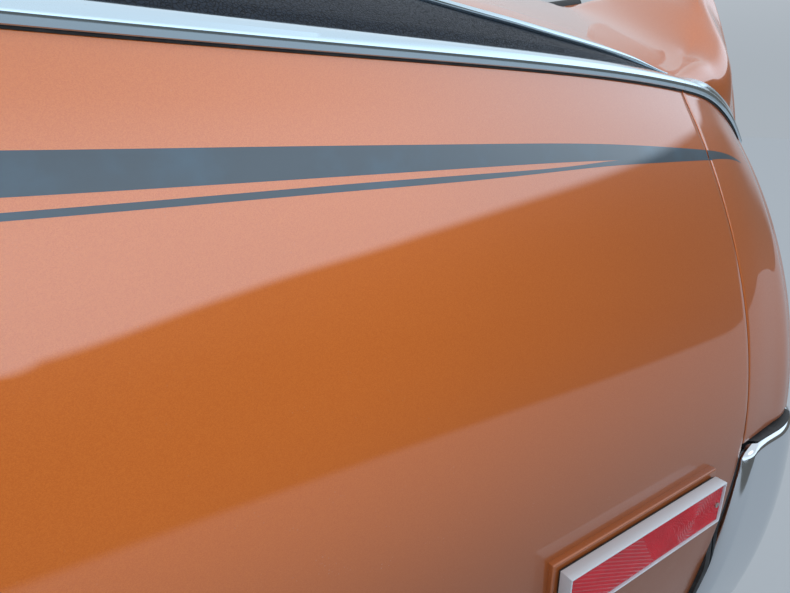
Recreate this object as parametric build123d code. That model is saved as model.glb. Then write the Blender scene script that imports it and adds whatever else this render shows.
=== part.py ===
from build123d import *
from collections import namedtuple
from functools import lru_cache
import math
import os

# Left rear quarter of a two-door hardtop body, seen from outside with the front at the left.
# +X runs rearward, -Y outboard, +Z up. The origin is the middle of the four bolt holes in the
# flat inboard wall of the wheelhouse, straight above the axle. "w" is a distance outboard, -Y.

# Sheet thicknesses and clearances
SKIN = 1.6            # outer sheet
INNER_SHEET = 2.0     # wheelhouse, braces and floors
GAP = 0.3             # assembly clearance between touching pieces
SEAM = 2.5            # visible gap at a panel joint
PAST = 60.0           # how far a cutting block runs past what it cuts

# Ends of the sheet metal and the wheel opening
FRONT_X = -560.0      # front edge, at the door lock pillar
TAIL_X = 1145.0       # rear end
AXLE_DROP = 230.0     # axle below the origin
ARCH_R = 372.0        # wheel opening
ARCH_HEM = 20.0       # depth of the turned-in arch edge
WIDE_Z = -50.0        # height of the body's widest line
LOW_TUCK = 12.0       # how far the bottom edge is tucked under

# Raised lip on the tail: distances ahead of the tail's end. The crest of the shoulder comes down
# to the belt where the lip starts, and climbs from there to the tail.
LIP_START = 175.0
LIP_SWELL = 105.0
LIP_FULL = 60.0
LIP_CREST = 30.0

# One row for each body section: belt corner, widest point, crest of the shoulder, deck edge
# and bottom edge. "in" columns run inboard from the belt, "up" columns rise from it, and each
# "bulge" is the height of that stretch's arc over its chord.
Station = namedtuple(
    "Station", "x belt_w belt_z wide_w crest_in crest_up crest_bulge deck_in deck_up deck_bulge low_z")
STATIONS = [
    Station(FRONT_X, 292, 379, 312, 55, 40, 4, 150, 72, 4, -345),
    Station(-200, 300, 379, 327, 55, 40, 4, 150, 74, 4, -300),
    Station(150, 295, 369, 330, 55, 40, 4, 150, 74, 4, -265),
    Station(467, 272, 352.5, 326, 56, 41, 4, 150, 75, 4, -255),
    Station(760, 244, 341.5, 324, 54, 41, 4, 150, 76, 4, -235),
    Station(TAIL_X - LIP_START, 224, 327, 323, 17.5, 10.5, 1, 150, 78, 4, -215),
    Station(TAIL_X - LIP_SWELL, 216, 314, 321, 33.5, 37.5, 13, 150, 102, 2, -205),
    Station(TAIL_X - LIP_FULL, 209, 296, 318, 48.5, 96, 18, 150, 140, 2, -200),
    Station(TAIL_X - LIP_CREST, 201, 283, 315, 63.5, 145, 10, 148, 166, 2, -195),
    Station(TAIL_X, 193, 267, 303, 56.5, 164.5, 5, 133, 178, 2, -190),
]

# Joint between the quarter panel and the end extension, leaning rearward on its way down
SEAM_TOP_X = TAIL_X - 174.0
SEAM_TOP_Z = 320.0
SEAM_LEAN = 47.0      # how much further back the joint is at the height where it turns upright
SEAM_BEND_Z = 0.0
SEAM_LOW_X = SEAM_TOP_X + SEAM_LEAN
SEAM_FOOT_LEAN = 9.0  # degrees by which it leans forward again below the bend
SEAL_INSET = 1.0
SEAL_DEPTH = 6.0

# Sail panel: one row for each level, front edge, rear corner and the corner's turn inboard
SailLevel = namedtuple("SailLevel", "z front_x front_w rear_x rear_w turn_x turn_in")
SAIL_LEVELS = [
    SailLevel(385, -330, 252, 300, 238, 120, 95),
    SailLevel(520, -305, 200, 130, 188, 75, 85),
    SailLevel(700, -272, 128, -95, 122, 45, 60),
]
SAIL_BULGE = 6.0
TURN_BULGE = 16.0
VINYL = 2.0           # thickness of the vinyl cover
VINYL_HEM = 14.0      # how far the vinyl stops short of the sail's top joint
SAIL_CORE = 200.0     # how deep the sail's inside is cleared of what lies under it

# Belt moulding and the thin moulding that divides vinyl from paint
BELT_DROP = 7.0       # cover below the belt corner
BELT_RISE = 9.0       # cover above the belt corner
BELT_PROUD = 5.0
BELT_CROWN = 0.8      # bulge of each of its two faces
BELT_ROOT = 1.0       # how deep its section starts before the body is cut from it
DIVIDER_W = 7.0
DIVIDER_PROUD = 4.5
WEDGE_TIP_X = SEAM_TOP_X - 13.0   # where the vinyl wedge runs out
WEDGE_FRONT_IN = 132.0            # wedge's inner edge, inboard of the belt at the sail

# Side marker lamp, built outward from the skin
MARKER_AHEAD = 168.0  # its middle ahead of the seam
MARKER_Z = -38.75
MARKER_L = 209.0
MARKER_H = 43.5
PAD_PROUD = 4.9
PAD_MARGIN = 5.0
PAD_EDGE_R = 2.5
GASKET = 1.8
GASKET_INSET = 2.5
BEZEL_DEPTH = 11.2
BEZEL_RIM = 2.0
BEZEL_CORNER_R = 1.5
LENS_SET_BACK = 1.2
BULB_ROOM = 5.0
MARKER_SCREW_R = 2.6
MARKER_SCREW_INSET = 9.0
SOCKET_R = 14.0
SOCKET_L = 34.0
SOCKET_CLEAR = 1.0    # room round the socket in the skin
PLUG_BORE_R = 7.0
PLUG_BORE_DEPTH = 14.0

# Bumper end, filler strip, arm and bolt
BUMPER_TOP_Z = -16.0
BUMPER_H = 236.0
BUMPER_BEHIND = 10.0   # its front edge behind the seam
BUMPER_PROUD = 8.0     # its side face outboard of the skin
BUMPER_TUCK = 12.0     # its lower edge inboard of its upper one
BUMPER_SIDE_L = 57.0
BUMPER_CORNER_R = 108.0
BUMPER_INNER_W = 60.0
BUMPER_PLATE = 3.0
BUMPER_BULGE = 9.0
BUMPER_LEDGE = 34.0
BUMPER_NOSE_R = 24.0
LEDGE_CROWN = 1.0
BUMPER_BOLT_R = 5.5
BUMPER_BOLT_SPACING = 70.0
FILLER_T = 9.0
FILLER_INSET = 5.0
FILLER_LOW_Z = -195.0
ARM_BOLT_BEHIND = 40.0   # stud behind the bumper's front edge
ARM_Z = -120.0
ARM_H = 52.0
ARM_T = 6.0
ARM_W = 250.0
ARM_FOOT = 22.0
ARM_REACH_GAP = 4.5   # space between the arm's pad and the bumper's side
ARM_BOLT_R = 6.0
ARM_NUT = 10.0
ARM_BOSS_R = 11.0        # boss by which the stud is welded inside the bumper

# Wheelhouse and the bolt pattern that holds the assembly
ARCH_FLANGE = 13.0    # arch edge to the wheelhouse's outside
WHEELHOUSE_R = ARCH_R + ARCH_FLANGE
WHEELHOUSE_SPLIT_W = 150.0
WHEELHOUSE_BELOW = 25.0   # how far its sides reach below the axle
AXLE_NOTCH_HALF = 130.0
AXLE_TRAVEL = 115.0
MOUNT_BOLT_R = 4.5
MOUNT_SPACING_X = 240.0
MOUNT_SPACING_Z = 140.0

# Lock pillar, striker, sill end and window slot
PILLAR_DEPTH = 62.0
PILLAR_INNER_W = 120.0
PILLAR_LOW_Z = -295.0
PILLAR_TOP_Z = 350.0
STRIKER_Z = 70.0
STRIKER_W = 225.0
STRIKER_R = 5.5
STRIKER_L = 38.0
STRIKER_SHANK = 14.0
STRIKER_HEAD_R = 12.0
STRIKER_HEAD_T = 4.0
STRIKER_PLATE_R = 24.0
ROCKER_CLEAR = 12.0
ROCKER_LIFT = 2.0
ROCKER_H = 46.0
WINDOW_SLOT_IN = 44.0
WINDOW_SEAL_W = 9.0
WINDOW_SEAL_H = 7.0

# Boot opening gutter and its rubber
GUTTER_FRONT_X = 467.0
GUTTER_REAR_X = TAIL_X - LIP_SWELL
GUTTER_DEPTH = 26.0
GUTTER_WIDTH = 30.0
GUTTER_LIP = 14.0
RUBBER_R = 8.0

# Boot floor, inner ribs and tail panel
FLOOR_Z = -182.0
FLOOR_FLANGE = 28.0
BRACE_DEPTH = 42.0
BRACE_REAR_DEPTH = 110.0
BRACE_TOP_Z = 300.0
BRACE_FRONT_X = -WHEELHOUSE_R - 45.0   # clear of the wheelhouse
BRACE_MIDDLE_X = 660.0
BRACE_REAR_X = SEAM_TOP_X - 16.0
DOUBLER_END_X = 640.0
DOUBLER_LOW_Z = 230.0
DOUBLER_HIGH_Z = 330.0
TAIL_PANEL_IN = 8.0
TAIL_HOLE_INSET = 14.0
TAIL_HOLE_R = 4.5
TAIL_HOLE_Z = 150.0
TAIL_HOLE_SPACING = 120.0


def body_places():
    """Limits that lie PAST beyond every piece, for blocks that cut or keep a region."""
    outside = max(s.wide_w for s in STATIONS) + BUMPER_BULGE + PAST
    rear = TAIL_X + BUMPER_CORNER_R + PAST
    under = min(s.low_z for s in STATIONS) - PAST
    return outside, FRONT_X - PAST, rear, under, SAIL_LEVELS[-1].z + PAST


OUT_W, AHEAD_X, BEHIND_X, UNDER_Z, OVER_Z = body_places()


def at(x, w, z):
    """A point of the body from its rearward, outboard and upward places."""
    return Vector(x, -w, z)


def block(x0, x1, w0, w1, z0, z1):
    """A square-edged block between two outboard distances w0 < w1."""
    size = Box(x1 - x0, w1 - w0, z1 - z0)
    return Pos((x0 + x1) / 2, -(w0 + w1) / 2, (z0 + z1) / 2) * size


def round_bar(x, z, w0, w1, radius):
    """A bar that lies across the body between two outboard distances."""
    return Pos(x, -(w0 + w1) / 2, z) * Rot(90, 0, 0) * Cylinder(radius, w1 - w0)


def sagitta(run, lean):
    """Height over its chord of an arc that starts upright and leans by lean over run."""
    radius = (run * run + lean * lean) / (2 * lean)
    half = math.hypot(run, lean) / 2
    return radius - math.sqrt(radius * radius - half * half)


def chain(points, bulges, out):
    """Arcs through 2-D points, all moved outward by out: a list of (start, middle, end)."""
    normals = []
    for (w0, z0), (w1, z1) in zip(points, points[1:]):
        length = math.hypot(w1 - w0, z1 - z0)
        normals.append(((z1 - z0) / length, -(w1 - w0) / length))
    moved = []
    for i, (w, z) in enumerate(points):
        a = normals[max(i - 1, 0)]
        b = normals[min(i, len(normals) - 1)]
        mitre = out / (1 + a[0] * b[0] + a[1] * b[1])
        moved.append((w + (a[0] + b[0]) * mitre, z + (a[1] + b[1]) * mitre))
    arcs = []
    for i, bulge in enumerate(bulges):
        (w0, z0), (w1, z1) = points[i], points[i + 1]
        rise = bulge + out
        middle = ((w0 + w1) / 2 + normals[i][0] * rise, (z0 + z1) / 2 + normals[i][1] * rise)
        arcs.append((moved[i], middle, moved[i + 1]))
    return arcs


def body_points(s):
    """Outline of one body section from the bottom edge up to the deck edge."""
    return [
        (s.wide_w - LOW_TUCK, s.low_z),
        (s.wide_w, WIDE_Z),
        (s.belt_w, s.belt_z),
        (s.belt_w - s.crest_in, s.belt_z + s.crest_up),
        (s.belt_w - s.deck_in, s.belt_z + s.deck_up),
    ]


def body_bulges(s):
    return [
        sagitta(WIDE_Z - s.low_z, LOW_TUCK),
        sagitta(s.belt_z - WIDE_Z, s.wide_w - s.belt_w),
        s.crest_bulge,
        s.deck_bulge,
    ]


def arc_edges(arcs, place):
    return [Edge.make_three_point_arc(*(place(p) for p in arc)) for arc in arcs]


def shell_wire(points, bulges, out, back, place):
    """Closed outline of a thin wall whose faces lie at out and back from the points."""
    outer = chain(points, bulges, out)
    inner = chain(points, bulges, back)
    edges = arc_edges(outer, place)
    edges.append(Edge.make_line(place(outer[-1][2]), place(inner[-1][2])))
    edges += arc_edges([arc[::-1] for arc in inner[::-1]], place)
    edges.append(Edge.make_line(place(inner[0][0]), place(outer[0][0])))
    return Wire(edges)


def body_shell(out, back, first=0):
    """Thin wall that follows the body from the bottom edge, or from a later outline point."""
    wires = []
    for s in STATIONS:
        place = lambda p, x=s.x: at(x, *p)
        wires.append(shell_wire(body_points(s)[first:], body_bulges(s)[first:], out, back, place))
    return Solid.make_loft(wires, ruled=True)


@lru_cache
def body_volume(out):
    """Everything inboard of the body surface moved outward by out, as one closed solid."""
    wires = []
    for s in STATIONS:
        place = lambda p, x=s.x: at(x, *p)
        arcs = chain(body_points(s), body_bulges(s), out)
        start, end = arcs[0][0], arcs[-1][2]
        corners = [end, (-PAST, end[1]), (-PAST, start[1]), start]
        edges = arc_edges(arcs, place)
        edges += [Edge.make_line(place(a), place(b)) for a, b in zip(corners, corners[1:])]
        wires.append(Wire(edges))
    return Solid.make_loft(wires, ruled=True)


def between_stations(x, column):
    """Value of one column at x, straight between the sections beside it."""
    for a, b in zip(STATIONS, STATIONS[1:]):
        if x <= b.x:
            share = (x - a.x) / (b.x - a.x)
            return getattr(a, column) + share * (getattr(b, column) - getattr(a, column))
    return getattr(STATIONS[-1], column)


def side_w(x, z):
    """Outboard distance of the body side at x and z, between the widest line and the belt."""
    rise = between_stations(x, "belt_z") - WIDE_Z
    lean = between_stations(x, "wide_w") - between_stations(x, "belt_w")
    radius = (rise * rise + lean * lean) / (2 * lean)
    return between_stations(x, "wide_w") - radius + math.sqrt(radius**2 - (z - WIDE_Z) ** 2)


def seam_foot_x(z):
    """Place of the extension's seam at a height below its bend."""
    return SEAM_LOW_X - (SEAM_BEND_Z - z) * math.tan(math.radians(SEAM_FOOT_LEAN))


def behind_seam(shift):
    """Block of space behind the extension's seam, moved rearward by shift."""
    rise = SEAM_TOP_Z - SEAM_BEND_Z
    radius = (rise * rise + SEAM_LEAN * SEAM_LEAN) / (2 * SEAM_LEAN)
    middle_x = SEAM_LOW_X - radius + math.sqrt(radius**2 - (rise / 2) ** 2)
    place = lambda x, z: at(x + shift, OUT_W, z)
    bend = [place(SEAM_LOW_X, SEAM_BEND_Z), place(middle_x, SEAM_BEND_Z + rise / 2),
            place(SEAM_TOP_X, SEAM_TOP_Z)]
    corners = [bend[-1], place(SEAM_TOP_X, OVER_Z), place(BEHIND_X, OVER_Z), place(BEHIND_X, UNDER_Z),
               place(seam_foot_x(UNDER_Z), UNDER_Z), bend[0]]
    edges = [Edge.make_three_point_arc(*bend)]
    edges += [Edge.make_line(p, q) for p, q in zip(corners, corners[1:])]
    return extrude(Face(Wire(edges)), amount=OUT_W + PAST, dir=(0, 1, 0))


def below_belt(drop):
    """Space under a level that stays drop below the belt corner."""
    wires = []
    for s in STATIONS:
        corners = [(-PAST, s.belt_z - drop), (OUT_W, s.belt_z - drop), (OUT_W, UNDER_Z), (-PAST, UNDER_Z)]
        wires.append(Wire.make_polygon([at(s.x, *c) for c in corners], close=True))
    return Solid.make_loft(wires, ruled=True)


def wheel_cylinder(radius, w0, w1):
    return round_bar(0, -AXLE_DROP, w0, w1, radius)


def sail_points(level):
    """Plan outline of the sail panel at one level, from its front edge to its turned-in end."""
    return [
        (level.front_w, level.front_x),
        (level.rear_w, level.rear_x),
        (level.rear_w - level.turn_in, level.rear_x + level.turn_x),
    ]


def sail_shell(out, back):
    """Thin wall that follows the sail panel."""
    wires = []
    for level in SAIL_LEVELS:
        place = lambda p, z=level.z: at(p[1], p[0], z)
        wires.append(shell_wire(sail_points(level), [SAIL_BULGE, TURN_BULGE], out, back, place))
    return Solid.make_loft(wires, ruled=True)


def plan_block(outline, z0, z1):
    """Upright block over a plan outline given as (x, w) corners."""
    wire = Wire.make_polygon([at(x, w, z0) for x, w in outline], close=True)
    return extrude(Face(wire), amount=z1 - z0, dir=(0, 0, 1))


def shoulder_line(inboard, x_start, x_end):
    """Plan points a set distance inboard of the belt, one at each section between two ends."""
    xs = [x_start] + [s.x for s in STATIONS if x_start < s.x < x_end] + [x_end]
    return [(x, between_stations(x, "belt_w") - inboard) for x in xs]


def wedge_inner(x):
    """Outboard distance of the vinyl wedge's inner edge, straight from the sail to the tip."""
    tip_w = between_stations(WEDGE_TIP_X, "belt_w") - BELT_RISE
    sail_x = SAIL_LEVELS[0].rear_x + SAIL_LEVELS[0].turn_x
    sail_w = between_stations(sail_x, "belt_w") - WEDGE_FRONT_IN
    return tip_w + (sail_w - tip_w) * (WEDGE_TIP_X - x) / (WEDGE_TIP_X - sail_x)


def save(name, shape):
    export_step(shape, f"parts/{name}.step")
    print(f"{name}: {shape.volume / 1000:.1f} cm3")


def build_quarter_skin():
    skin = body_shell(0, -SKIN)
    skin -= behind_seam(0) & below_belt(BELT_DROP / 2)
    skin -= wheel_cylinder(ARCH_R, 0, OUT_W)
    skin -= socket_bar(SOCKET_R + SOCKET_CLEAR)
    window = shoulder_line(WINDOW_SLOT_IN, AHEAD_X, SAIL_LEVELS[0].front_x)
    window += [(SAIL_LEVELS[0].front_x, -PAST), (AHEAD_X, -PAST)]
    skin -= plan_block(window, WIDE_Z, OVER_Z)
    return skin


def build_extension():
    shell = body_shell(0, -SKIN) & behind_seam(SEAM)
    shell &= below_belt(BELT_DROP / 2 + GAP)
    return shell & block(AHEAD_X, BEHIND_X, -PAST, OUT_W, BUMPER_TOP_Z + FILLER_INSET, OVER_Z)


def build_extension_seal():
    strip = body_shell(-SEAL_INSET, -SEAL_INSET - SEAL_DEPTH)
    strip &= behind_seam(GAP) - behind_seam(SEAM - GAP)
    strip &= below_belt(BELT_DROP)
    return strip & block(AHEAD_X, BEHIND_X, -PAST, OUT_W, BUMPER_TOP_Z + FILLER_INSET, OVER_Z)


def wheelhouse_block(w0):
    """Space round the wheelhouse, down to a little below the axle."""
    low = -AXLE_DROP - WHEELHOUSE_BELOW
    return block(AHEAD_X, BEHIND_X, w0, OUT_W, low, OVER_Z)


def build_arch_hem():
    inside = body_volume(-SKIN - GAP)
    beyond = body_volume(-ARCH_HEM - INNER_SHEET)
    rim = wheel_cylinder(ARCH_R + SKIN, 0, OUT_W) - wheel_cylinder(ARCH_R, 0, OUT_W)
    reach = WHEELHOUSE_R - INNER_SHEET - GAP
    flange = wheel_cylinder(reach, 0, OUT_W) - wheel_cylinder(ARCH_R, 0, OUT_W)
    hem = rim & (inside - beyond)
    hem += flange & (body_volume(-ARCH_HEM) - beyond)
    return hem & wheelhouse_block(0)


def build_inner_wheelhouse():
    tub = wheel_cylinder(WHEELHOUSE_R, 0, WHEELHOUSE_SPLIT_W)
    tub -= wheel_cylinder(WHEELHOUSE_R - INNER_SHEET, INNER_SHEET, OUT_W)
    tub &= wheelhouse_block(-PAST)
    tub -= block(-AXLE_NOTCH_HALF, AXLE_NOTCH_HALF, -PAST, PAST, UNDER_Z, AXLE_TRAVEL - AXLE_DROP)
    for x in (-MOUNT_SPACING_X / 2, MOUNT_SPACING_X / 2):
        for z in (-MOUNT_SPACING_Z / 2, MOUNT_SPACING_Z / 2):
            tub -= round_bar(x, z, -PAST, PAST, MOUNT_BOLT_R)
    return tub


def build_outer_wheelhouse():
    arch = wheel_cylinder(WHEELHOUSE_R, WHEELHOUSE_SPLIT_W + GAP, OUT_W)
    arch -= wheel_cylinder(WHEELHOUSE_R - INNER_SHEET, 0, OUT_W)
    arch &= body_volume(-SKIN - GAP)
    return arch & wheelhouse_block(0)


def build_lock_pillar():
    low, high = PILLAR_LOW_Z, PILLAR_TOP_Z
    face = block(FRONT_X, FRONT_X + INNER_SHEET, PILLAR_INNER_W, OUT_W, low, high)
    wall = block(FRONT_X, FRONT_X + PILLAR_DEPTH, PILLAR_INNER_W, PILLAR_INNER_W + INNER_SHEET, low, high)
    pillar = (face + wall) & body_volume(-SKIN - GAP)
    hole = Pos(FRONT_X, -STRIKER_W, STRIKER_Z) * Rot(0, 90, 0) * Cylinder(STRIKER_R + GAP, PAST)
    return pillar - hole


def build_striker():
    axis = Pos(FRONT_X, -STRIKER_W, STRIKER_Z) * Rot(0, -90, 0)
    base = (Align.CENTER, Align.CENTER, Align.MIN)
    shank = Pos(0, 0, -STRIKER_SHANK) * Cylinder(STRIKER_R, STRIKER_L + STRIKER_SHANK, align=base)
    washer = Pos(0, 0, GAP) * Cylinder(STRIKER_PLATE_R, STRIKER_HEAD_T, align=base)
    head = Pos(0, 0, STRIKER_L) * Cylinder(STRIKER_HEAD_R, STRIKER_HEAD_T, align=base)
    return axis * (shank + washer + head)


def build_rocker_end():
    x0, x1 = FRONT_X + INNER_SHEET + GAP, -WHEELHOUSE_R - ROCKER_CLEAR
    low = STATIONS[0].low_z
    inner_w = PILLAR_INNER_W + INNER_SHEET + GAP
    outer = block(x0, x1, inner_w, OUT_W, low + ROCKER_LIFT, low + ROCKER_H)
    inner = block(x0 - PAST, x1 + PAST, inner_w + INNER_SHEET, OUT_W,
                  low + ROCKER_LIFT + INNER_SHEET, low + ROCKER_H - INNER_SHEET)
    hollow = inner & body_volume(-SKIN - GAP - INNER_SHEET)
    return (outer & body_volume(-SKIN - GAP)) - hollow


def build_drop_floor():
    x0, x1 = WHEELHOUSE_R + GAP, BRACE_REAR_X - GAP
    floor = block(x0, x1, 0, OUT_W, FLOOR_Z - INNER_SHEET, FLOOR_Z)
    upstand = block(x0, x1, 0, INNER_SHEET, FLOOR_Z, FLOOR_Z + FLOOR_FLANGE)
    return (floor + upstand) & body_volume(-SKIN - GAP)


def build_rib(x, depth, low, high):
    """Upright rib between the inside of the skin and a plumb edge, depth inboard of the belt."""
    plumb_w = between_stations(x, "belt_w") - depth
    return body_volume(-SKIN - GAP) & block(x, x + INNER_SHEET, plumb_w, OUT_W, low, high)


def build_tail_panel():
    x = TAIL_X - TAIL_PANEL_IN
    plate = body_volume(-SKIN - GAP)
    inner_w = STATIONS[-1].belt_w - STATIONS[-1].deck_in
    plate &= block(x, x + INNER_SHEET, inner_w, OUT_W, BUMPER_TOP_Z + FILLER_INSET, OVER_Z)
    for z in (TAIL_HOLE_Z - TAIL_HOLE_SPACING / 2, TAIL_HOLE_Z + TAIL_HOLE_SPACING / 2):
        hole = Pos(x, -inner_w - TAIL_HOLE_INSET, z) * Rot(0, 90, 0)
        plate -= hole * Cylinder(TAIL_HOLE_R, PAST)
    return plate


def build_belt_doubler():
    sheet = body_volume(-SKIN - GAP) - body_volume(-SKIN - GAP - INNER_SHEET)
    x0 = FRONT_X + PILLAR_DEPTH + GAP
    return sheet & block(x0, DOUBLER_END_X, 0, OUT_W, DOUBLER_LOW_Z, DOUBLER_HIGH_Z)


def build_sail_panel():
    return sail_shell(0, -SKIN) - body_volume(GAP)


def build_sail_vinyl():
    top = SAIL_LEVELS[-1].z - VINYL_HEM
    cover = sail_shell(GAP + VINYL, GAP) - body_volume(GAP)
    return cover & block(AHEAD_X, BEHIND_X, -PAST, OUT_W, WIDE_Z, top)


def build_vinyl_wedge():
    """Vinyl on the shoulder between the belt moulding and the thin dividing moulding."""
    front = SAIL_LEVELS[0].front_x
    outline = shoulder_line(BELT_RISE + GAP, front, WEDGE_TIP_X)
    sail_x = SAIL_LEVELS[0].rear_x + SAIL_LEVELS[0].turn_x
    outline += [(sail_x, wedge_inner(sail_x)), (front, wedge_inner(sail_x))]
    cover = body_shell(GAP + VINYL, GAP, first=2) & plan_block(outline, WIDE_Z, OVER_Z)
    cover -= sail_shell(GAP + VINYL + GAP, -SAIL_CORE)
    solids = cover.solids()
    return max(solids, key=lambda solid: solid.volume)


def build_divider():
    sail_x = SAIL_LEVELS[0].rear_x + SAIL_LEVELS[0].turn_x
    tip_w = wedge_inner(WEDGE_TIP_X)
    outline = [
        (sail_x, wedge_inner(sail_x) - GAP),
        (WEDGE_TIP_X, tip_w - GAP),
        (WEDGE_TIP_X + DIVIDER_W, tip_w - DIVIDER_W),
        (sail_x, wedge_inner(sail_x) - GAP - DIVIDER_W),
    ]
    strip = body_shell(DIVIDER_PROUD, GAP, first=2) & plan_block(outline, WIDE_Z, OVER_Z)
    return strip - sail_shell(GAP + VINYL + GAP, -SAIL_CORE)


def belt_section(s, out):
    """Two-sided cap over the belt corner of one section."""
    slope = 2 * (s.wide_w - s.belt_w) / (s.belt_z - WIDE_Z)
    run = math.hypot(s.crest_in, s.crest_up)
    points = [
        (s.belt_w + slope * BELT_DROP, s.belt_z - BELT_DROP),
        (s.belt_w, s.belt_z),
        (s.belt_w - s.crest_in * BELT_RISE / run, s.belt_z + s.crest_up * BELT_RISE / run),
    ]
    place = lambda p: at(s.x, *p)
    return shell_wire(points, [BELT_CROWN, BELT_CROWN], out, -BELT_ROOT, place)


def build_belt_moulding(rear):
    bead = Solid.make_loft([belt_section(s, BELT_PROUD) for s in STATIONS], ruled=True)
    bead -= body_volume(GAP)
    if rear:
        return bead & block(SEAM_TOP_X + GAP, BEHIND_X, 0, OUT_W, WIDE_Z, OVER_Z)
    return bead & block(AHEAD_X, SEAM_TOP_X, 0, OUT_W, WIDE_Z, OVER_Z)


def build_window_seal():
    inner = shoulder_line(WINDOW_SLOT_IN - GAP, FRONT_X, SAIL_LEVELS[0].front_x - GAP)
    outer = shoulder_line(WINDOW_SLOT_IN - WINDOW_SEAL_W, FRONT_X, SAIL_LEVELS[0].front_x - GAP)
    strip = body_shell(WINDOW_SEAL_H, GAP, first=2)
    return strip & plan_block(outer + inner[::-1], WIDE_Z, OVER_Z)


def gutter_places():
    """Deck edge (x, w, z) at the gutter's ends and at the sections between them."""
    inner = [s.x for s in STATIONS if GUTTER_FRONT_X < s.x < GUTTER_REAR_X]
    places = []
    for x in [GUTTER_FRONT_X] + inner + [GUTTER_REAR_X]:
        w = between_stations(x, "belt_w") - between_stations(x, "deck_in") - GAP
        places.append((x, w, between_stations(x, "belt_z") + between_stations(x, "deck_up")))
    return places


def build_gutter():
    wires = []
    for x, w, z in gutter_places():
        t, far = INNER_SHEET, w - GUTTER_WIDTH
        top, floor = z - SKIN - GAP, z - GUTTER_DEPTH
        corners = [(w, top), (w, floor), (far, floor), (far, floor + GUTTER_LIP),
                   (far + t, floor + GUTTER_LIP), (far + t, floor + t), (w - t, floor + t), (w - t, top)]
        wires.append(Wire.make_polygon([at(x, *c) for c in corners], close=True))
    return Solid.make_loft(wires, ruled=True)


def build_gutter_rubber():
    wires = []
    for x, w, z in gutter_places():
        middle = at(x, w - GUTTER_WIDTH + INNER_SHEET / 2, z - GUTTER_DEPTH + GUTTER_LIP + GAP + RUBBER_R)
        wires.append(Wire.make_circle(RUBBER_R, Plane(middle, z_dir=(1, 0, 0))))
    return Solid.make_loft(wires, ruled=True)


MARKER_X = SEAM_LOW_X - MARKER_AHEAD
PAD_FACE_W = side_w(MARKER_X, MARKER_Z) + PAD_PROUD
LENS_BACK_W = PAD_FACE_W + GAP + GASKET + GAP
BEZEL_FACE_W = LENS_BACK_W + BEZEL_DEPTH


def marker_block(margin, w0, w1):
    half_l, half_h = MARKER_L / 2 + margin, MARKER_H / 2 + margin
    return block(MARKER_X - half_l, MARKER_X + half_l, w0, w1, MARKER_Z - half_h, MARKER_Z + half_h)


def socket_bar(radius):
    return round_bar(MARKER_X, MARKER_Z, PAD_FACE_W - PAST, OUT_W, radius)


def build_marker_pad():
    pad = marker_block(PAD_MARGIN, PAD_FACE_W - PAST, PAD_FACE_W)
    pad = fillet(pad.edges().group_by(Axis.Y)[0], PAD_EDGE_R)
    return pad - body_volume(GAP) - socket_bar(SOCKET_R + GAP)


def build_marker_gasket():
    gasket = marker_block(-GASKET_INSET, PAD_FACE_W + GAP, PAD_FACE_W + GAP + GASKET)
    return gasket - socket_bar(SOCKET_R + GAP)


def build_marker_bezel():
    bezel = marker_block(0, LENS_BACK_W, BEZEL_FACE_W)
    bezel = fillet(bezel.edges().filter_by(Axis.Y), BEZEL_CORNER_R)
    return bezel - marker_block(-BEZEL_RIM, LENS_BACK_W - PAST, OUT_W)


def build_marker_lens():
    lens = marker_block(-BEZEL_RIM - GAP, LENS_BACK_W, BEZEL_FACE_W - LENS_SET_BACK)
    lens -= round_bar(MARKER_X, MARKER_Z, LENS_BACK_W - PAST, LENS_BACK_W + BULB_ROOM, SOCKET_R)
    for x in marker_screw_xs():
        lens -= round_bar(x, MARKER_Z, LENS_BACK_W - PAST, OUT_W, MARKER_SCREW_R + GAP)
    return lens


def marker_screw_xs():
    reach = MARKER_L / 2 - MARKER_SCREW_INSET
    return (MARKER_X - reach, MARKER_X + reach)


def build_marker_screws():
    bars = [round_bar(x, MARKER_Z, LENS_BACK_W, BEZEL_FACE_W - GAP, MARKER_SCREW_R)
            for x in marker_screw_xs()]
    return Compound(children=bars)


def build_marker_socket():
    front_w = LENS_BACK_W + BULB_ROOM - GAP
    back_w = front_w - SOCKET_L
    body = round_bar(MARKER_X, MARKER_Z, back_w, front_w, SOCKET_R - GAP)
    return body - round_bar(MARKER_X, MARKER_Z, back_w - PAST, back_w + PLUG_BORE_DEPTH, PLUG_BORE_R)


BUMPER_FRONT_X = SEAM_LOW_X + BUMPER_BEHIND
BUMPER_SIDE_W = side_w(SEAM_LOW_X, BUMPER_TOP_Z) + BUMPER_PROUD
BUMPER_LOW_Z = BUMPER_TOP_Z - BUMPER_H
BUMPER_BULGES = [LEDGE_CROWN, BUMPER_BULGE, LEDGE_CROWN]
ARM_BOLT_X = BUMPER_FRONT_X + ARM_BOLT_BEHIND


def bumper_points():
    back = BUMPER_SIDE_W - BUMPER_LEDGE
    low_w = BUMPER_SIDE_W - BUMPER_TUCK
    return [(back, BUMPER_LOW_Z), (low_w, BUMPER_LOW_Z), (BUMPER_SIDE_W, BUMPER_TOP_Z),
            (back, BUMPER_TOP_Z)]


def bumper_sweep(face):
    """Carries a section face along the bumper's side, round its corner and across the tail."""
    corner_x, run = BUMPER_FRONT_X + BUMPER_SIDE_L, BUMPER_SIDE_L + PAST
    pivot_w = BUMPER_SIDE_W - BUMPER_CORNER_R
    side = extrude(face, amount=run, dir=(1, 0, 0))
    moved = Pos(run, 0, 0) * face
    axis = Axis((corner_x, -pivot_w, 0), (0, 0, 1))
    corner = revolve(moved, axis=axis, revolution_arc=90)
    across = extrude(moved.rotate(axis, 90), amount=pivot_w - BUMPER_INNER_W, dir=(0, 1, 0))
    return side + corner + across


def bumper_place(point):
    return at(BUMPER_FRONT_X - PAST, *point)


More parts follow.
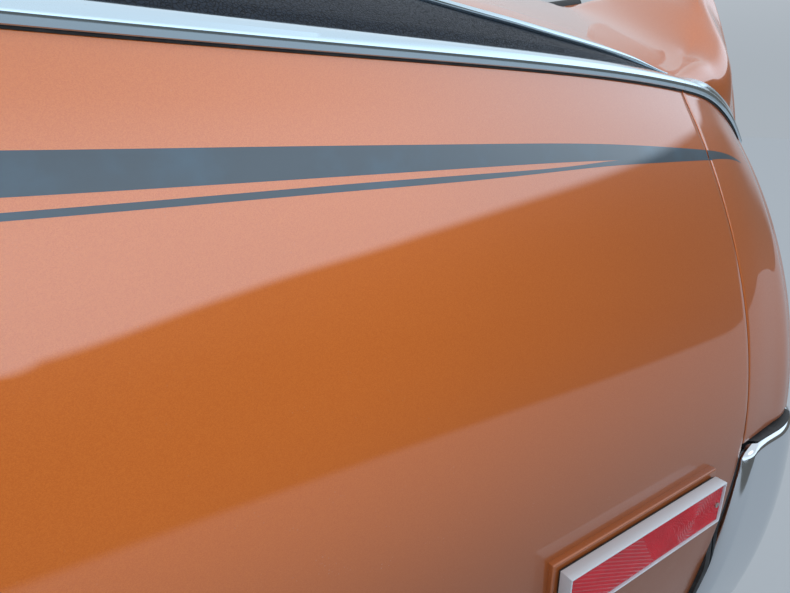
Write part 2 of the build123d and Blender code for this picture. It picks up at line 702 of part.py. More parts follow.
def bumper_block(depth):
    """Solid section of the bumper, its surface moved in by depth."""
    edges = arc_edges(chain(bumper_points(), BUMPER_BULGES, -depth), bumper_place)
    edges.append(Edge.make_line(edges[-1] @ 1, edges[0] @ 0))
    return Face(Wire(edges))


def nose_cutter(z_corner, up):
    """Rounds one front corner of the bumper as seen from the side."""
    front_x = seam_foot_x(z_corner) + BUMPER_BEHIND
    centre_x, centre_z = front_x + BUMPER_NOSE_R, z_corner - up * BUMPER_NOSE_R
    z0, z1 = sorted((z_corner + up * PAST, centre_z))
    corner = block(front_x - PAST, centre_x, BUMPER_INNER_W, OUT_W, z0, z1)
    return corner - round_bar(centre_x, centre_z, 0, OUT_W + PAST, BUMPER_NOSE_R)


def build_bumper_end():
    shell = Face(shell_wire(bumper_points(), BUMPER_BULGES, 0, -BUMPER_PLATE, bumper_place))
    solid = bumper_sweep(bumper_block(GAP))
    corner_x = BUMPER_FRONT_X + BUMPER_SIDE_L
    flange = block(corner_x, BEHIND_X, BUMPER_INNER_W, BUMPER_INNER_W + BUMPER_PLATE,
                   BUMPER_LOW_Z - PAST, BUMPER_TOP_Z + PAST)
    bumper = bumper_sweep(shell) & behind_seam(BUMPER_BEHIND)
    front = behind_seam(BUMPER_BEHIND) - behind_seam(BUMPER_BEHIND + BUMPER_PLATE)
    bumper += solid & (front & block(AHEAD_X, corner_x, BUMPER_INNER_W, OUT_W, UNDER_Z, OVER_Z))
    bumper += solid & flange
    bumper -= nose_cutter(BUMPER_TOP_Z + LEDGE_CROWN, 1)
    bumper -= nose_cutter(BUMPER_LOW_Z - LEDGE_CROWN, -1)
    for z in bumper_bolt_zs():
        bumper -= round_bar(bumper_flange_x(), z, -PAST, BUMPER_INNER_W + BUMPER_LEDGE, BUMPER_BOLT_R)
    return bumper


def bumper_flange_x():
    return BUMPER_FRONT_X + BUMPER_SIDE_L + BUMPER_CORNER_R - BUMPER_LEDGE / 2


def bumper_bolt_zs():
    middle = BUMPER_TOP_Z - BUMPER_H / 2
    return (middle - BUMPER_BOLT_SPACING / 2, middle + BUMPER_BOLT_SPACING / 2)


def build_bumper_filler():
    ring = body_volume(-FILLER_INSET) - body_volume(-FILLER_INSET - FILLER_T)
    bumper_z = BUMPER_TOP_Z + LEDGE_CROWN + GAP
    upright = behind_seam(GAP) - behind_seam(BUMPER_BEHIND - GAP)
    upright &= block(AHEAD_X, BEHIND_X, 0, OUT_W, FILLER_LOW_Z, bumper_z)
    level = block(SEAM_LOW_X + GAP, TAIL_X, 0, OUT_W, bumper_z, BUMPER_TOP_Z + FILLER_INSET - GAP)
    return ring & (upright + level)


def build_bumper_arm():
    half = ARM_H / 2
    low, high = ARM_Z - half, ARM_Z + half
    x0 = BRACE_REAR_X + INNER_SHEET + GAP
    pad_w = BUMPER_SIDE_W - ARM_REACH_GAP
    foot = block(x0, x0 + ARM_T, ARM_W - ARM_FOOT, ARM_W + ARM_T, low, high)
    bar = block(x0, ARM_BOLT_X + half, ARM_W, ARM_W + ARM_T, low, high)
    pad = block(ARM_BOLT_X - half, ARM_BOLT_X + half, ARM_W, pad_w, low, high)
    return foot + bar + pad - round_bar(ARM_BOLT_X, ARM_Z, 0, OUT_W, ARM_BOLT_R + GAP)


def build_bumper_bolt():
    """Stud on a boss that follows the inside of the bumper's face, and its nut."""
    pad_w, nut_w = BUMPER_SIDE_W - ARM_REACH_GAP, ARM_W - ARM_NUT
    shank = round_bar(ARM_BOLT_X, ARM_Z, nut_w, pad_w + GAP, ARM_BOLT_R)
    nut = round_bar(ARM_BOLT_X, ARM_Z, nut_w, ARM_W - GAP, ARM_BOSS_R)
    boss = round_bar(ARM_BOLT_X, ARM_Z, pad_w + GAP, OUT_W, ARM_BOSS_R)
    boss &= extrude(bumper_block(BUMPER_PLATE + GAP), amount=BUMPER_SIDE_L + PAST, dir=(1, 0, 0))
    return shank + nut + boss


os.makedirs("parts", exist_ok=True)
save("quarter_skin", build_quarter_skin())
save("quarter_extension", build_extension())
save("extension_seal", build_extension_seal())
save("arch_hem", build_arch_hem())
save("inner_wheelhouse", build_inner_wheelhouse())
save("outer_wheelhouse", build_outer_wheelhouse())
save("lock_pillar", build_lock_pillar())
save("door_striker", build_striker())
save("rocker_end", build_rocker_end())
save("drop_floor", build_drop_floor())
save("front_brace", build_rib(BRACE_FRONT_X, BRACE_DEPTH, PILLAR_LOW_Z, DOUBLER_LOW_Z - GAP))
save("middle_brace", build_rib(BRACE_MIDDLE_X, BRACE_DEPTH, FLOOR_Z + GAP, BRACE_TOP_Z))
save("rear_brace", build_rib(BRACE_REAR_X, BRACE_REAR_DEPTH, FLOOR_Z + GAP, BRACE_TOP_Z))
save("tail_panel", build_tail_panel())
save("belt_doubler", build_belt_doubler())
save("sail_panel", build_sail_panel())
save("sail_vinyl", build_sail_vinyl())
save("vinyl_wedge", build_vinyl_wedge())
save("divider_moulding", build_divider())
save("belt_moulding", build_belt_moulding(False))
save("belt_moulding_rear", build_belt_moulding(True))
save("window_seal", build_window_seal())
save("deck_gutter", build_gutter())
save("gutter_rubber", build_gutter_rubber())
save("marker_pad", build_marker_pad())
save("marker_gasket", build_marker_gasket())
save("marker_bezel", build_marker_bezel())
save("marker_lens", build_marker_lens())
save("marker_screws", build_marker_screws())
save("marker_socket", build_marker_socket())
save("bumper_end", build_bumper_end())
save("bumper_filler", build_bumper_filler())
save("bumper_arm", build_bumper_arm())
save("bumper_bolt", build_bumper_bolt())
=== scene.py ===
# %% [markdown]
# A left rear quarter panel, dressed.
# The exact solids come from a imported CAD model, which is loaded as a fixed frame. Every visible
# piece is then modelled or finished round it, in the same place and at the same size, in metres.
# X runs rearward, Y inboard and Z up. "w" is a distance outboard, which is minus Y.

# %% Load the frame
import math

import bpy
import numpy as np
from mathutils import Matrix, Vector


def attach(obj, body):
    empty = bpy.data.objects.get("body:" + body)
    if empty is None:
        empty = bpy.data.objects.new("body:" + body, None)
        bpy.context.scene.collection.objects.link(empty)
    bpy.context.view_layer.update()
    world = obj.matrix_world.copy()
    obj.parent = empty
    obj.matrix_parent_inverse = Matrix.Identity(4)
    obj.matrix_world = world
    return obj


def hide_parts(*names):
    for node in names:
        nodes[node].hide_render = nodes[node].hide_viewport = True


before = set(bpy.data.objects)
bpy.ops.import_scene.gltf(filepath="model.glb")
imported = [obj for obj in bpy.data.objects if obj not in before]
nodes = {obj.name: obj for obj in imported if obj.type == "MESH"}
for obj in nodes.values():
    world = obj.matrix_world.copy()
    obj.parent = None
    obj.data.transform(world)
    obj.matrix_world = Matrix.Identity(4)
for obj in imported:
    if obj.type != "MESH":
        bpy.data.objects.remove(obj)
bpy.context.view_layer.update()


def clear_selection():
    """Object mode with nothing selected, which is how each new piece starts."""
    if bpy.context.object and bpy.context.object.mode != "OBJECT":
        bpy.ops.object.mode_set(mode="OBJECT")
    bpy.ops.object.select_all(action="DESELECT")


clear_selection()

# %% [markdown]
# The body's shape.
# A car's side is one smooth surface, drawn as sections across the body. Each row below is such a
# section: the belt corner, the widest point, the crest of the shoulder, the deck's edge and the
# bottom edge. Between the rows a cubic curve is run through each column. A sculpted or subdivided
# box would leave soft lumps, which a glossy paint shows at once, so the surface is worked out
# from these curves and only then given to a mesh.

# %% Sections of the body
WIDE_Z = -0.050        # height of the widest line
LOW_TUCK = 0.012       # how far the bottom edge tucks under
FRONT_X, TAIL_X = -0.560, 1.145
COLUMNS = "belt_w belt_z wide_w crest_in crest_up crest_bulge deck_in deck_up deck_bulge low_z".split()
SECTIONS = {
    -0.560: (0.292, 0.3790, 0.312, 0.055, 0.040, 0.004, 0.150, 0.072, 0.004, -0.345),
    -0.200: (0.300, 0.3790, 0.327, 0.055, 0.040, 0.004, 0.150, 0.074, 0.004, -0.300),
    0.150: (0.295, 0.3690, 0.330, 0.055, 0.040, 0.004, 0.150, 0.074, 0.004, -0.265),
    0.467: (0.272, 0.3525, 0.326, 0.056, 0.041, 0.004, 0.150, 0.075, 0.004, -0.255),
    0.760: (0.244, 0.3415, 0.324, 0.054, 0.041, 0.004, 0.150, 0.076, 0.004, -0.235),
    0.970: (0.224, 0.3270, 0.323, 0.0175, 0.0105, 0.001, 0.150, 0.078, 0.004, -0.215),
    1.040: (0.216, 0.3140, 0.321, 0.0335, 0.0375, 0.013, 0.150, 0.102, 0.002, -0.205),
    1.085: (0.209, 0.2960, 0.318, 0.0485, 0.0960, 0.018, 0.150, 0.140, 0.002, -0.200),
    1.115: (0.201, 0.2830, 0.315, 0.0635, 0.1450, 0.010, 0.148, 0.166, 0.002, -0.195),
    1.145: (0.193, 0.2670, 0.303, 0.0565, 0.1645, 0.005, 0.133, 0.178, 0.002, -0.190),
}

# %% Curves through the sections
def curve_through(xs, ys, level=False):
    """Smooth curve through points. A level one never swings past its points."""
    xs, ys = np.array(xs, float), np.array(ys, float)
    step, rise = np.diff(xs), np.diff(ys) / np.diff(xs)
    if level:
        slope = np.concatenate([rise[:1], np.zeros(len(xs) - 2), rise[-1:]])
        same = rise[:-1] * rise[1:] > 0
        weight = 2 * rise[:-1] * rise[1:] / np.where(same, rise[:-1] + rise[1:], 1)
        slope[1:-1] = np.where(same, weight, 0)
    else:
        system = np.zeros((len(xs), len(xs)))
        side = np.zeros(len(xs))
        system[0, :2], system[-1, -2:] = (2, 1), (1, 2)
        side[0], side[-1] = 3 * rise[0], 3 * rise[-1]
        for i in range(1, len(xs) - 1):
            system[i, i - 1:i + 2] = step[i], 2 * (step[i - 1] + step[i]), step[i - 1]
            side[i] = 3 * (step[i] * rise[i - 1] + step[i - 1] * rise[i])
        slope = np.linalg.solve(system, side)

    def value(x):
        x = np.clip(x, xs[0], xs[-1])
        i = np.clip(np.searchsorted(xs, x) - 1, 0, len(xs) - 2)
        h = step[i]
        t = (x - xs[i]) / h
        return (ys[i] * (1 + 2 * t) * (1 - t) ** 2 + ys[i + 1] * t * t * (3 - 2 * t)
                + h * slope[i] * t * (1 - t) ** 2 - h * slope[i + 1] * t * t * (1 - t))
    return value


LEVEL = ("crest_in", "crest_up", "crest_bulge", "deck_in", "deck_up", "deck_bulge")
BODY = {name: curve_through(list(SECTIONS), [row[i] for row in SECTIONS.values()], name in LEVEL)
        for i, name in enumerate(COLUMNS)}
print("sections:", len(SECTIONS), "columns:", len(BODY))

# %% Side and shoulder of the body
def arc(t, start, end, bulge):
    """Points at t (0 to 1) of arcs from start to end, each (w, z), that bulge outward."""
    run_w, run_z = end[0] - start[0], end[1] - start[1]
    chord = np.hypot(run_w, run_z)
    radius = (chord**2 / 4 + bulge**2) / (2 * bulge)
    angle = (2 * t - 1) * np.arcsin(chord / 2 / radius)
    along = 0.5 + radius * np.sin(angle) / chord
    rise = radius * np.cos(angle) - (radius - bulge)
    return start[0] + run_w * along + rise * run_z / chord, start[1] + run_z * along - rise * run_w / chord


HOLLOW, HOLLOW_END = 0.0004, 0.036    # slight hollow between the belt and the soft crease


def side_w(x, z):
    """Outboard distance of the body's side, upright at the widest line."""
    up = z >= WIDE_Z
    belt_z = BODY["belt_z"](x)
    run = np.where(up, belt_z - WIDE_Z, WIDE_Z - BODY["low_z"](x))
    lean = np.where(up, BODY["wide_w"](x) - BODY["belt_w"](x), LOW_TUCK)
    radius = (run**2 + lean**2) / (2 * lean)
    drop = np.clip((belt_z - z) / HOLLOW_END, 0, 1)
    round_w = radius - np.sqrt(np.maximum(radius**2 - (z - WIDE_Z) ** 2, 0))
    return BODY["wide_w"](x) - round_w - HOLLOW * np.sin(np.pi * drop) ** 2


def shoulder(x, t):
    """(w, z) on the shoulder at t 0 to 1, and on the deck at t 1 to 2."""
    belt = BODY["belt_w"](x), BODY["belt_z"](x)
    crest = belt[0] - BODY["crest_in"](x), belt[1] + BODY["crest_up"](x)
    deck = belt[0] - BODY["deck_in"](x), belt[1] + BODY["deck_up"](x)
    first = arc(np.clip(t, 0, 1), belt, crest, BODY["crest_bulge"](x))
    second = arc(np.clip(t - 1, 0, 1), crest, deck, BODY["deck_bulge"](x))
    return np.where(t < 1, first[0], second[0]), np.where(t < 1, first[1], second[1])


print("body width at the wheel", round(float(side_w(0.0, WIDE_Z)), 4))

# %% [markdown]
# Laying a mesh on the body.
# A grid primitive has its vertices in rows and columns, so it can be laid on the body like
# graph paper: every vertex is given the place that the section curves say. The first helper does
# it for each piece that follows the body. The others apply a modifier, round and smooth edges,
# delete faces, and hand a piece over with its finish and its place in the frame.

# %% Lay a grid
def lay_grid(name, points):
    """Grid primitive laid on points, an array of columns by rows by 3, as (x, w, z)."""
    clear_selection()
    columns, rows = points.shape[:2]
    bpy.ops.mesh.primitive_grid_add(x_subdivisions=columns - 1, y_subdivisions=rows - 1, size=1)
    piece = bpy.context.object
    piece.name = piece.data.name = name
    places = np.transpose(points, (1, 0, 2)) * (1, -1, 1)
    piece.data.vertices.foreach_set("co", places.reshape(-1))
    piece.matrix_world = Matrix.Identity(4)
    return piece


def stack(x, w, z):
    """One array of (x, w, z) from three arrays of the same shape."""
    return np.stack(np.broadcast_arrays(x, w, z), axis=-1)


# %% Apply modifiers
def apply_modifier(piece, kind, **settings):
    """Adds a modifier, sets it and applies it."""
    clear_selection()
    piece.select_set(True)
    bpy.context.view_layer.objects.active = piece
    modifier = piece.modifiers.new(kind.lower(), kind)
    for key, value in settings.items():
        setattr(modifier, key, value)
    bpy.ops.object.modifier_apply(modifier=modifier.name)


def bevel_edges(piece, width, segments, degrees=30):
    """Rounds the edges that are sharper than an angle."""
    apply_modifier(piece, "BEVEL", width=width, segments=segments, limit_method="ANGLE",
                   angle_limit=math.radians(degrees))


def smooth(piece, degrees=32):
    """Smooth shading, apart from edges sharper than an angle."""
    clear_selection()
    piece.select_set(True)
    bpy.context.view_layer.objects.active = piece
    bpy.ops.object.shade_smooth_by_angle(angle=math.radians(degrees))


# %% Pick faces and finish a piece
def pick_faces(piece, test):
    """Edit mode with the faces selected for which test(face) is true."""
    clear_selection()
    bpy.context.view_layer.objects.active = piece
    bpy.context.tool_settings.mesh_select_mode = (False, False, True)
    for part in (*piece.data.vertices, *piece.data.edges):
        part.select = False
    for face in piece.data.polygons:
        face.select = bool(test(face))
    bpy.ops.object.mode_set(mode="EDIT")


def delete_faces(piece, test):
    """Deletes the faces for which test(face) is true."""
    pick_faces(piece, test)
    bpy.ops.mesh.delete(type="FACE")
    bpy.ops.object.mode_set(mode="OBJECT")


def finish_piece(piece, slot, replaced, *materials):
    """Gives a piece its materials and body, and hides the CAD nodes that it stands for; slot is not used.
    """
    clear_selection()
    piece.data.materials.clear()
    for material in materials:
        piece.data.materials.append(material)
    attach(piece, "root")
    if replaced:
        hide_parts(*replaced)
    print(piece.name, len(piece.data.polygons), "faces")


# %% [markdown]
# Node helpers.
# Every material below is a small net of nodes. These helpers keep the wiring short: one adds any
# node with its settings, and the others add the kinds that are needed most.

# %% Add a node
def set_inputs(tree, node, inputs):
    """Gives a node's inputs, by name or number, a value or the socket of another node."""
    for key, value in dict(inputs).items():
        if isinstance(value, bpy.types.NodeSocket):
            tree.links.new(value, node.inputs[key])
        else:
            node.inputs[key].default_value = value
    return node


def add(tree, kind, inputs=(), **settings):
    node = tree.nodes.new("ShaderNode" + kind)
    for key, value in settings.items():
        setattr(node, key, value)
    return set_inputs(tree, node, inputs)


# %% Patterns, masks and arithmetic
def object_place(tree):
    return add(tree, "TexCoord").outputs["Object"]


def noise(tree, place, scale, detail, roughness=0.5):
    """Cloudy pattern of 0 to 1."""
    return add(tree, "TexNoise", {"Vector": place, "Scale": scale, "Detail": detail,
                                  "Roughness": roughness}).outputs["Fac"]


def ramp(tree, value, low, high):
    """Turns a value into a mask: 0 below low, 1 above high."""
    return add(tree, "MapRange", {"Value": value, "From Min": low, "From Max": high},
               interpolation_type="SMOOTHSTEP").outputs["Result"]


def spread(tree, value, low, high):
    """Turns 0 to 1 into low to high."""
    return add(tree, "MapRange", {"Value": value, "To Min": low, "To Max": high}).outputs["Result"]


def calc(tree, operation, *values):
    """One step of arithmetic."""
    return add(tree, "Math", dict(enumerate(values)), operation=operation).outputs[0]


def mix(tree, factor, first, second, blend="MIX"):
    """Colour between first and second."""
    return add(tree, "Mix", {"Factor": factor, "A": first, "B": second},
               data_type="RGBA", blend_type=blend).outputs["Result"]


# %% New groups and materials
def new_group(name, inputs, outputs):
    """Node group with float inputs, given with their defaults, and outputs of a kind each."""
    group = bpy.data.node_groups.new(name, "ShaderNodeTree")
    for key, value in inputs.items():
        socket = group.interface.new_socket(key, in_out="INPUT", socket_type="NodeSocketFloat")
        socket.default_value = value
    for key, kind in outputs.items():
        group.interface.new_socket(key, in_out="OUTPUT", socket_type=kind)
    return group, group.nodes.new("NodeGroupInput"), group.nodes.new("NodeGroupOutput")


def place_group(tree, group, inputs):
    """Outputs of a group that is placed in a material."""
    node = tree.nodes.new("ShaderNodeGroup")
    node.node_tree = group
    return set_inputs(tree, node, inputs).outputs


def new_material(name, **sockets):
    """Principled material. Underscores in a socket's name stand for spaces."""
    material = bpy.data.materials.new(name)
    material.use_nodes = True
    tree = material.node_tree
    shader = tree.nodes["Principled BSDF"]
    set_inputs(tree, shader, {key.replace("_", " "): value for key, value in sockets.items()})
    return material, tree, shader


# %% [markdown]
# Dust.
# A car that stands outdoors carries fine dust: a thin film in soft patches, with pale specks in
# it. It dulls the gloss more than it changes the colour. Paint, vinyl and trim all carry it, so
# it is one group with an amount.

# %% Dust group
DUST = (0.46, 0.42, 0.37, 1)


def make_dust_group():
    tree, given, result = new_group("dust", {"Amount": 0.3, "Patch Scale": 6.0, "Speck Scale": 420.0},
                                    {"Film": "NodeSocketFloat", "Specks": "NodeSocketFloat"})
    place = object_place(tree)
    patches = noise(tree, place, given.outputs["Patch Scale"], 5.0, 0.6)
    shade_and_film = calc(tree, "MULTIPLY", ramp(tree, patches, 0.35, 0.75), given.outputs["Amount"])
    cells = add(tree, "TexVoronoi", {"Vector": place, "Scale": given.outputs["Speck Scale"]})
    speck = add(tree, "MapRange", {"Value": cells.outputs["Distance"], "From Min": 0.22,
                                   "From Max": 0.10}).outputs["Result"]
    few = calc(tree, "MULTIPLY", speck, ramp(tree, noise(tree, place, 90.0, 3.0), 0.55, 0.75))
    set_inputs(tree, result, {"Film": shade_and_film, "Specks": calc(tree, "MULTIPLY", few, shade_and_film)})
    return tree


dust_group = make_dust_group()

# %% [markdown]
# Metallic paint.
# The car's colour is three layers: an orange pigment, tiny metal flakes in it that answer the
# light one by one, and a clear coat with a mirror gloss over both. The shader has the same
# layers. Flakes are Voronoi cells, each with its own tilt and lightness, so nothing repeats. The
# pigment darkens where it is seen at a glance, a metallic flop that is painted shade here, and
# towards its foot a dark brown painted shade, with a road film in it, thickens.

# %% Flake group
def make_flake_group():
    tree, given, result = new_group("metal_flakes", {"Scale": 2600.0, "Tilt": 0.05},
                                    {"Lightness": "NodeSocketFloat", "Normal": "NodeSocketVector"})
    cells = add(tree, "TexVoronoi", {"Vector": object_place(tree), "Scale": given.outputs["Scale"]})
    shade = add(tree, "SeparateXYZ", {0: cells.outputs["Color"]}).outputs[0]
    lean = add(tree, "VectorMath", {0: cells.outputs["Color"], 1: (0.5, 0.5, 0.5)},
               operation="SUBTRACT").outputs[0]
    tilt = add(tree, "VectorMath", {0: lean, "Scale": given.outputs["Tilt"]}, operation="SCALE").outputs[0]
    upright = add(tree, "NewGeometry").outputs["Normal"]
    tilted = add(tree, "VectorMath", {0: upright, 1: tilt}, operation="ADD").outputs[0]
    unit = add(tree, "VectorMath", {0: tilted}, operation="NORMALIZE").outputs[0]
    set_inputs(tree, result, {"Lightness": shade, "Normal": unit})
    return tree


flake_group = make_flake_group()

# %% Body paint
ORANGE, ORANGE_FLAKE = (0.69, 0.138, 0.005, 1), (0.77, 0.180, 0.014, 1)
# Painted shade at a glancing angle, a metallic flop: the share of the pigment that is left there.
GLANCE_SHADE = (0.66, 0.64, 0.64, 1)          # share of the pigment that is left at a glancing angle
# Painted shade with a road film in it: a dark brown that the paint turns to towards its foot, between the
# two heights below.
FOOT_SHADE_AND_ROAD_FILM = (0.165, 0.054, 0.022, 1)
SHADE_FILM_TOP_Z, SHADE_FILM_LOW_Z = 0.180, -0.110


def make_body_paint():
    material, tree, shader = new_material("orange_metallic_paint", Metallic=0.08, IOR=1.35,
                                          Coat_Weight=1.0, Coat_Roughness=0.02, Coat_IOR=2.0)
    place = object_place(tree)
    tone = noise(tree, place, 3.0, 3.0)
    height = add(tree, "SeparateXYZ", {0: place}).outputs["Z"]
    patchy = spread(tree, tone, 0.66, 0.96)
    # Painted shade with a road film in it, thickening towards the foot of the body.
    shade_and_film = calc(tree, "MULTIPLY", ramp(tree, height, SHADE_FILM_TOP_Z, SHADE_FILM_LOW_Z), patchy)
    flakes = place_group(tree, flake_group, {"Scale": 2600.0, "Tilt": 0.035})
    dust = place_group(tree, dust_group, {"Amount": spread(tree, shade_and_film, 0.20, 0.95), "Patch Scale": 5.0,
                                          "Speck Scale": 420.0})
    pigment = mix(tree, flakes["Lightness"], ORANGE, ORANGE_FLAKE)
    clouded = mix(tree, 1.0, pigment, spread(tree, tone, 0.94, 1.06), "MULTIPLY")
    # Painted shade: the pigment darkens where the surface is seen at a glance, as a metallic flop.
    facing = add(tree, "LayerWeight", {"Blend": 0.5}).outputs["Facing"]
    glance_shade = mix(tree, ramp(tree, facing, 0.10, 0.60), (1, 1, 1, 1), GLANCE_SHADE)
    glance_shaded = mix(tree, 1.0, clouded, glance_shade, "MULTIPLY")
    # The dark brown painted shade at the foot.
    foot_shaded = mix(tree, shade_and_film, glance_shaded, FOOT_SHADE_AND_ROAD_FILM)
    set_inputs(tree, shader, {"Base Color": mix(tree, dust["Specks"], foot_shaded, DUST),
                              "Roughness": spread(tree, dust["Film"], 0.30, 0.45),
                              "Coat Weight": spread(tree, shade_and_film, 1.0, 0.15),
                              "Normal": flakes["Normal"]})
    return material


body_paint = make_body_paint()

# %% [markdown]
# Thin paint inside.
# The inner sheets never got the outer finish: they carry primer and a drift of orange
# overspray, satin, with road dirt in patches. One material does for all of them.

# %% Inner paint
PRIMER, OVERSPRAY, DIRT = (0.32, 0.105, 0.040, 1), (0.42, 0.115, 0.022, 1), (0.24, 0.125, 0.070, 1)


def make_inner_paint():
    material, tree, shader = new_material("satin_overspray", Metallic=0.0, IOR=1.45)
    place = object_place(tree)
    cloud = noise(tree, place, 7.0, 6.0, 0.62)
    dust = place_group(tree, dust_group, {"Amount": 0.8, "Patch Scale": 4.0, "Speck Scale": 260.0})
    colour = mix(tree, ramp(tree, cloud, 0.36, 0.62), PRIMER, OVERSPRAY)
    bump = add(tree, "Bump", {"Height": noise(tree, place, 900.0, 2.0), "Strength": 0.25,
                              "Distance": 0.0004})
    set_inputs(tree, shader, {"Base Color": mix(tree, dust["Film"], colour, DIRT),
                              "Roughness": spread(tree, cloud, 0.42, 0.68),
                              "Normal": bump.outputs[0]})
    return material


inner_paint = make_inner_paint()

# %% [markdown]
# Vinyl.
# The roof cover is a soft black vinyl with a leather grain: little pads with creases between
# them. A Voronoi texture's distance to the nearest cell edge gives such pads, and a noise
# bends its cells so that they aren't like honeycomb. The creases are coloured darker than the
# pads, a painted shade.

# %% Grained vinyl
# Painted shade: the grain's creases get a darker colour than the pads.
CREASE_SHADE, PAD = (0.003, 0.005, 0.009, 1), (0.010, 0.018, 0.032, 1)


def make_vinyl():
    material, tree, shader = new_material("grained_black_vinyl", IOR=1.35)
    place = object_place(tree)
    bend = add(tree, "TexNoise", {"Vector": place, "Scale": 260.0, "Detail": 2.0}).outputs["Color"]
    shift = add(tree, "VectorMath", {0: bend, "Scale": 0.0030}, operation="SCALE").outputs[0]
    moved = add(tree, "VectorMath", {0: place, 1: shift}, operation="ADD").outputs[0]
    cells = add(tree, "TexVoronoi", {"Vector": moved, "Scale": 520.0}, feature="DISTANCE_TO_EDGE")
    pads = ramp(tree, cells.outputs["Distance"], 0.0, 0.16)
    dust = place_group(tree, dust_group, {"Amount": 0.35, "Patch Scale": 9.0, "Speck Scale": 500.0})
    bump = add(tree, "Bump", {"Height": pads, "Strength": 0.8, "Distance": 0.0004})
    # Pads in the vinyl's colour, with painted shade in the creases.
    set_inputs(tree, shader, {"Base Color": mix(tree, dust["Specks"], mix(tree, pads, CREASE_SHADE, PAD), DUST),
                              "Roughness": spread(tree, pads, 0.62, 0.38),
                              "Normal": bump.outputs[0]})
    return material


vinyl = make_vinyl()

# %% [markdown]
# Bright metal.
# Stainless trim and chrome plate are both near mirrors, and the lamp's frame is a satin one.
# Trim has a trace of long polishing lines, and chrome is cleaner. All have fine dust.

# %% Trim, chrome and zinc
def make_bright(name, colour, low, high, lines, metallic=1.0):
    """Metal whose roughness drifts between low and high along lines."""
    material, tree, shader = new_material(name, Metallic=metallic)
    stretch = add(tree, "Mapping", {"Vector": object_place(tree), "Scale": lines})
    streak = noise(tree, stretch.outputs[0], 1.0, 4.0)
    dust = place_group(tree, dust_group, {"Amount": 0.45, "Patch Scale": 11.0, "Speck Scale": 380.0})
    rough = add(tree, "MapRange", {"Value": streak, "From Min": 0.3, "From Max": 0.7,
                                   "To Min": low, "To Max": high}).outputs["Result"]
    set_inputs(tree, shader, {"Base Color": mix(tree, dust["Specks"], colour, DUST),
                              "Roughness": calc(tree, "MULTIPLY_ADD", dust["Film"], 0.12, rough)})
    return material


bright_trim = make_bright("polished_stainless", (0.62, 0.76, 0.85, 1), 0.06, 0.14, (6, 900, 900))
chrome = make_bright("chrome_plate", (0.66, 0.70, 0.74, 1), 0.03, 0.08, (40, 40, 40))
satin_frame = make_bright("satin_aluminium", (0.66, 0.70, 0.74, 1), 0.26, 0.40, (4, 500, 500), 0.45)
zinc_steel = make_bright("zinc_plated_steel", (0.50, 0.49, 0.45, 1), 0.24, 0.42, (300, 300, 300))

# %% [markdown]
# Rubber, tape, plastic and lens.
# Rubber and moulded plastic are dark and matt with a fine bloom. The side stripes are dark
# tape under the same gloss as the paint. The lens is clear red plastic: light passes it, so it
# gets transmission, and its ribs are real geometry.

# %% Plain dark finishes
def make_dark(name, colour, rough, grain, coat=0.0):
    """Dark finish with a faint bloom; coat above 0 gives it a gloss."""
    material, tree, shader = new_material(name, IOR=1.5, Coat_Weight=coat, Coat_Roughness=0.03,
                                          Coat_IOR=1.65)
    grains = noise(tree, object_place(tree), grain, 5.0)
    pale = tuple(min(1.0, c * 2.4 + 0.004) for c in colour[:3]) + (1,)
    set_inputs(tree, shader, {"Base Color": mix(tree, ramp(tree, grains, 0.45, 0.8), colour, pale),
                              "Roughness": spread(tree, grains, rough - 0.1, rough + 0.1)})
    return material


rubber = make_dark("black_rubber", (0.016, 0.016, 0.017, 1), 0.62, 120.0)
socket_plastic = make_dark("moulded_black_plastic", (0.035, 0.035, 0.04, 1), 0.5, 300.0)
stripe_tape = make_dark("slate_stripe_tape", (0.006, 0.030, 0.052, 1), 0.35, 20.0, coat=1.0)

# %% Red lens
DEEP_RED, BRIGHT_RED = (0.46, 0.003, 0.012, 1), (0.80, 0.012, 0.030, 1)


def make_lens():
    material, tree, shader = new_material("red_lens", IOR=1.40, Transmission_Weight=0.25)
    cloud = noise(tree, object_place(tree), 60.0, 4.0)
    set_inputs(tree, shader, {"Base Color": mix(tree, cloud, DEEP_RED, BRIGHT_RED),
                              "Roughness": spread(tree, cloud, 0.08, 0.22)})
    return material


red_lens = make_lens()
print("materials:", len(bpy.data.materials))

# %% [markdown]
# The outer panel.
# It is one sheet: the side, a shoulder above the belt and a deck that climbs to a raised lip at
# the tail. Its rear edge on the side follows the joint with the end extension, a long arc, so
# the grid's columns are eased rearward near it until the last one lies on the joint. The sheet
# gets its thickness from Solidify, the wheel opening is cut with a round cutter, and the tail
# edge is rolled in as a pressed edge is.

# %% Joint line and wheel opening
SEAM_TOP_X, SEAM_LEAN = 0.971, 0.047
SEAM_TOP_Z, SEAM_BEND_Z = 0.320, 0.0
SEAM_FOOT_SLOPE = math.tan(math.radians(9))
SEAM = 0.0025
SKIN = 0.0016
ARCH_R, AXLE_Z = 0.372, -0.230
ARCH_SWELL, ARCH_SWELL_W = 0.0035, 0.030
TAIL_ROLL, TAIL_LIP = 0.012, 0.010


def ease(t):
    t = np.clip(t, 0, 1)
    return t * t * (3 - 2 * t)


def seam_x(z):
    """The joint's place at a height: an arc that leans forward above, and a slant below."""
    rise = SEAM_TOP_Z - SEAM_BEND_Z
    radius = (rise**2 + SEAM_LEAN**2) / (2 * SEAM_LEAN)
    up = np.clip(z - SEAM_BEND_Z, 0, rise)
    foot = SEAM_FOOT_SLOPE * np.maximum(SEAM_BEND_Z - z, 0)
    return SEAM_TOP_X + SEAM_LEAN - radius + np.sqrt(radius**2 - up**2) - foot


def side_height(x, share):
    """Height on the side: share 0 is the bottom edge, 1 the belt corner."""
    foot = BODY["low_z"](x)
    return foot + (BODY["belt_z"](x) - foot) * share


def arch_swell(x, z):
    """Outward swell of the side round the wheel opening."""
    from_edge = np.hypot(x, z - AXLE_Z) - ARCH_R
    return ARCH_SWELL * (1 - ease(from_edge / ARCH_SWELL_W))


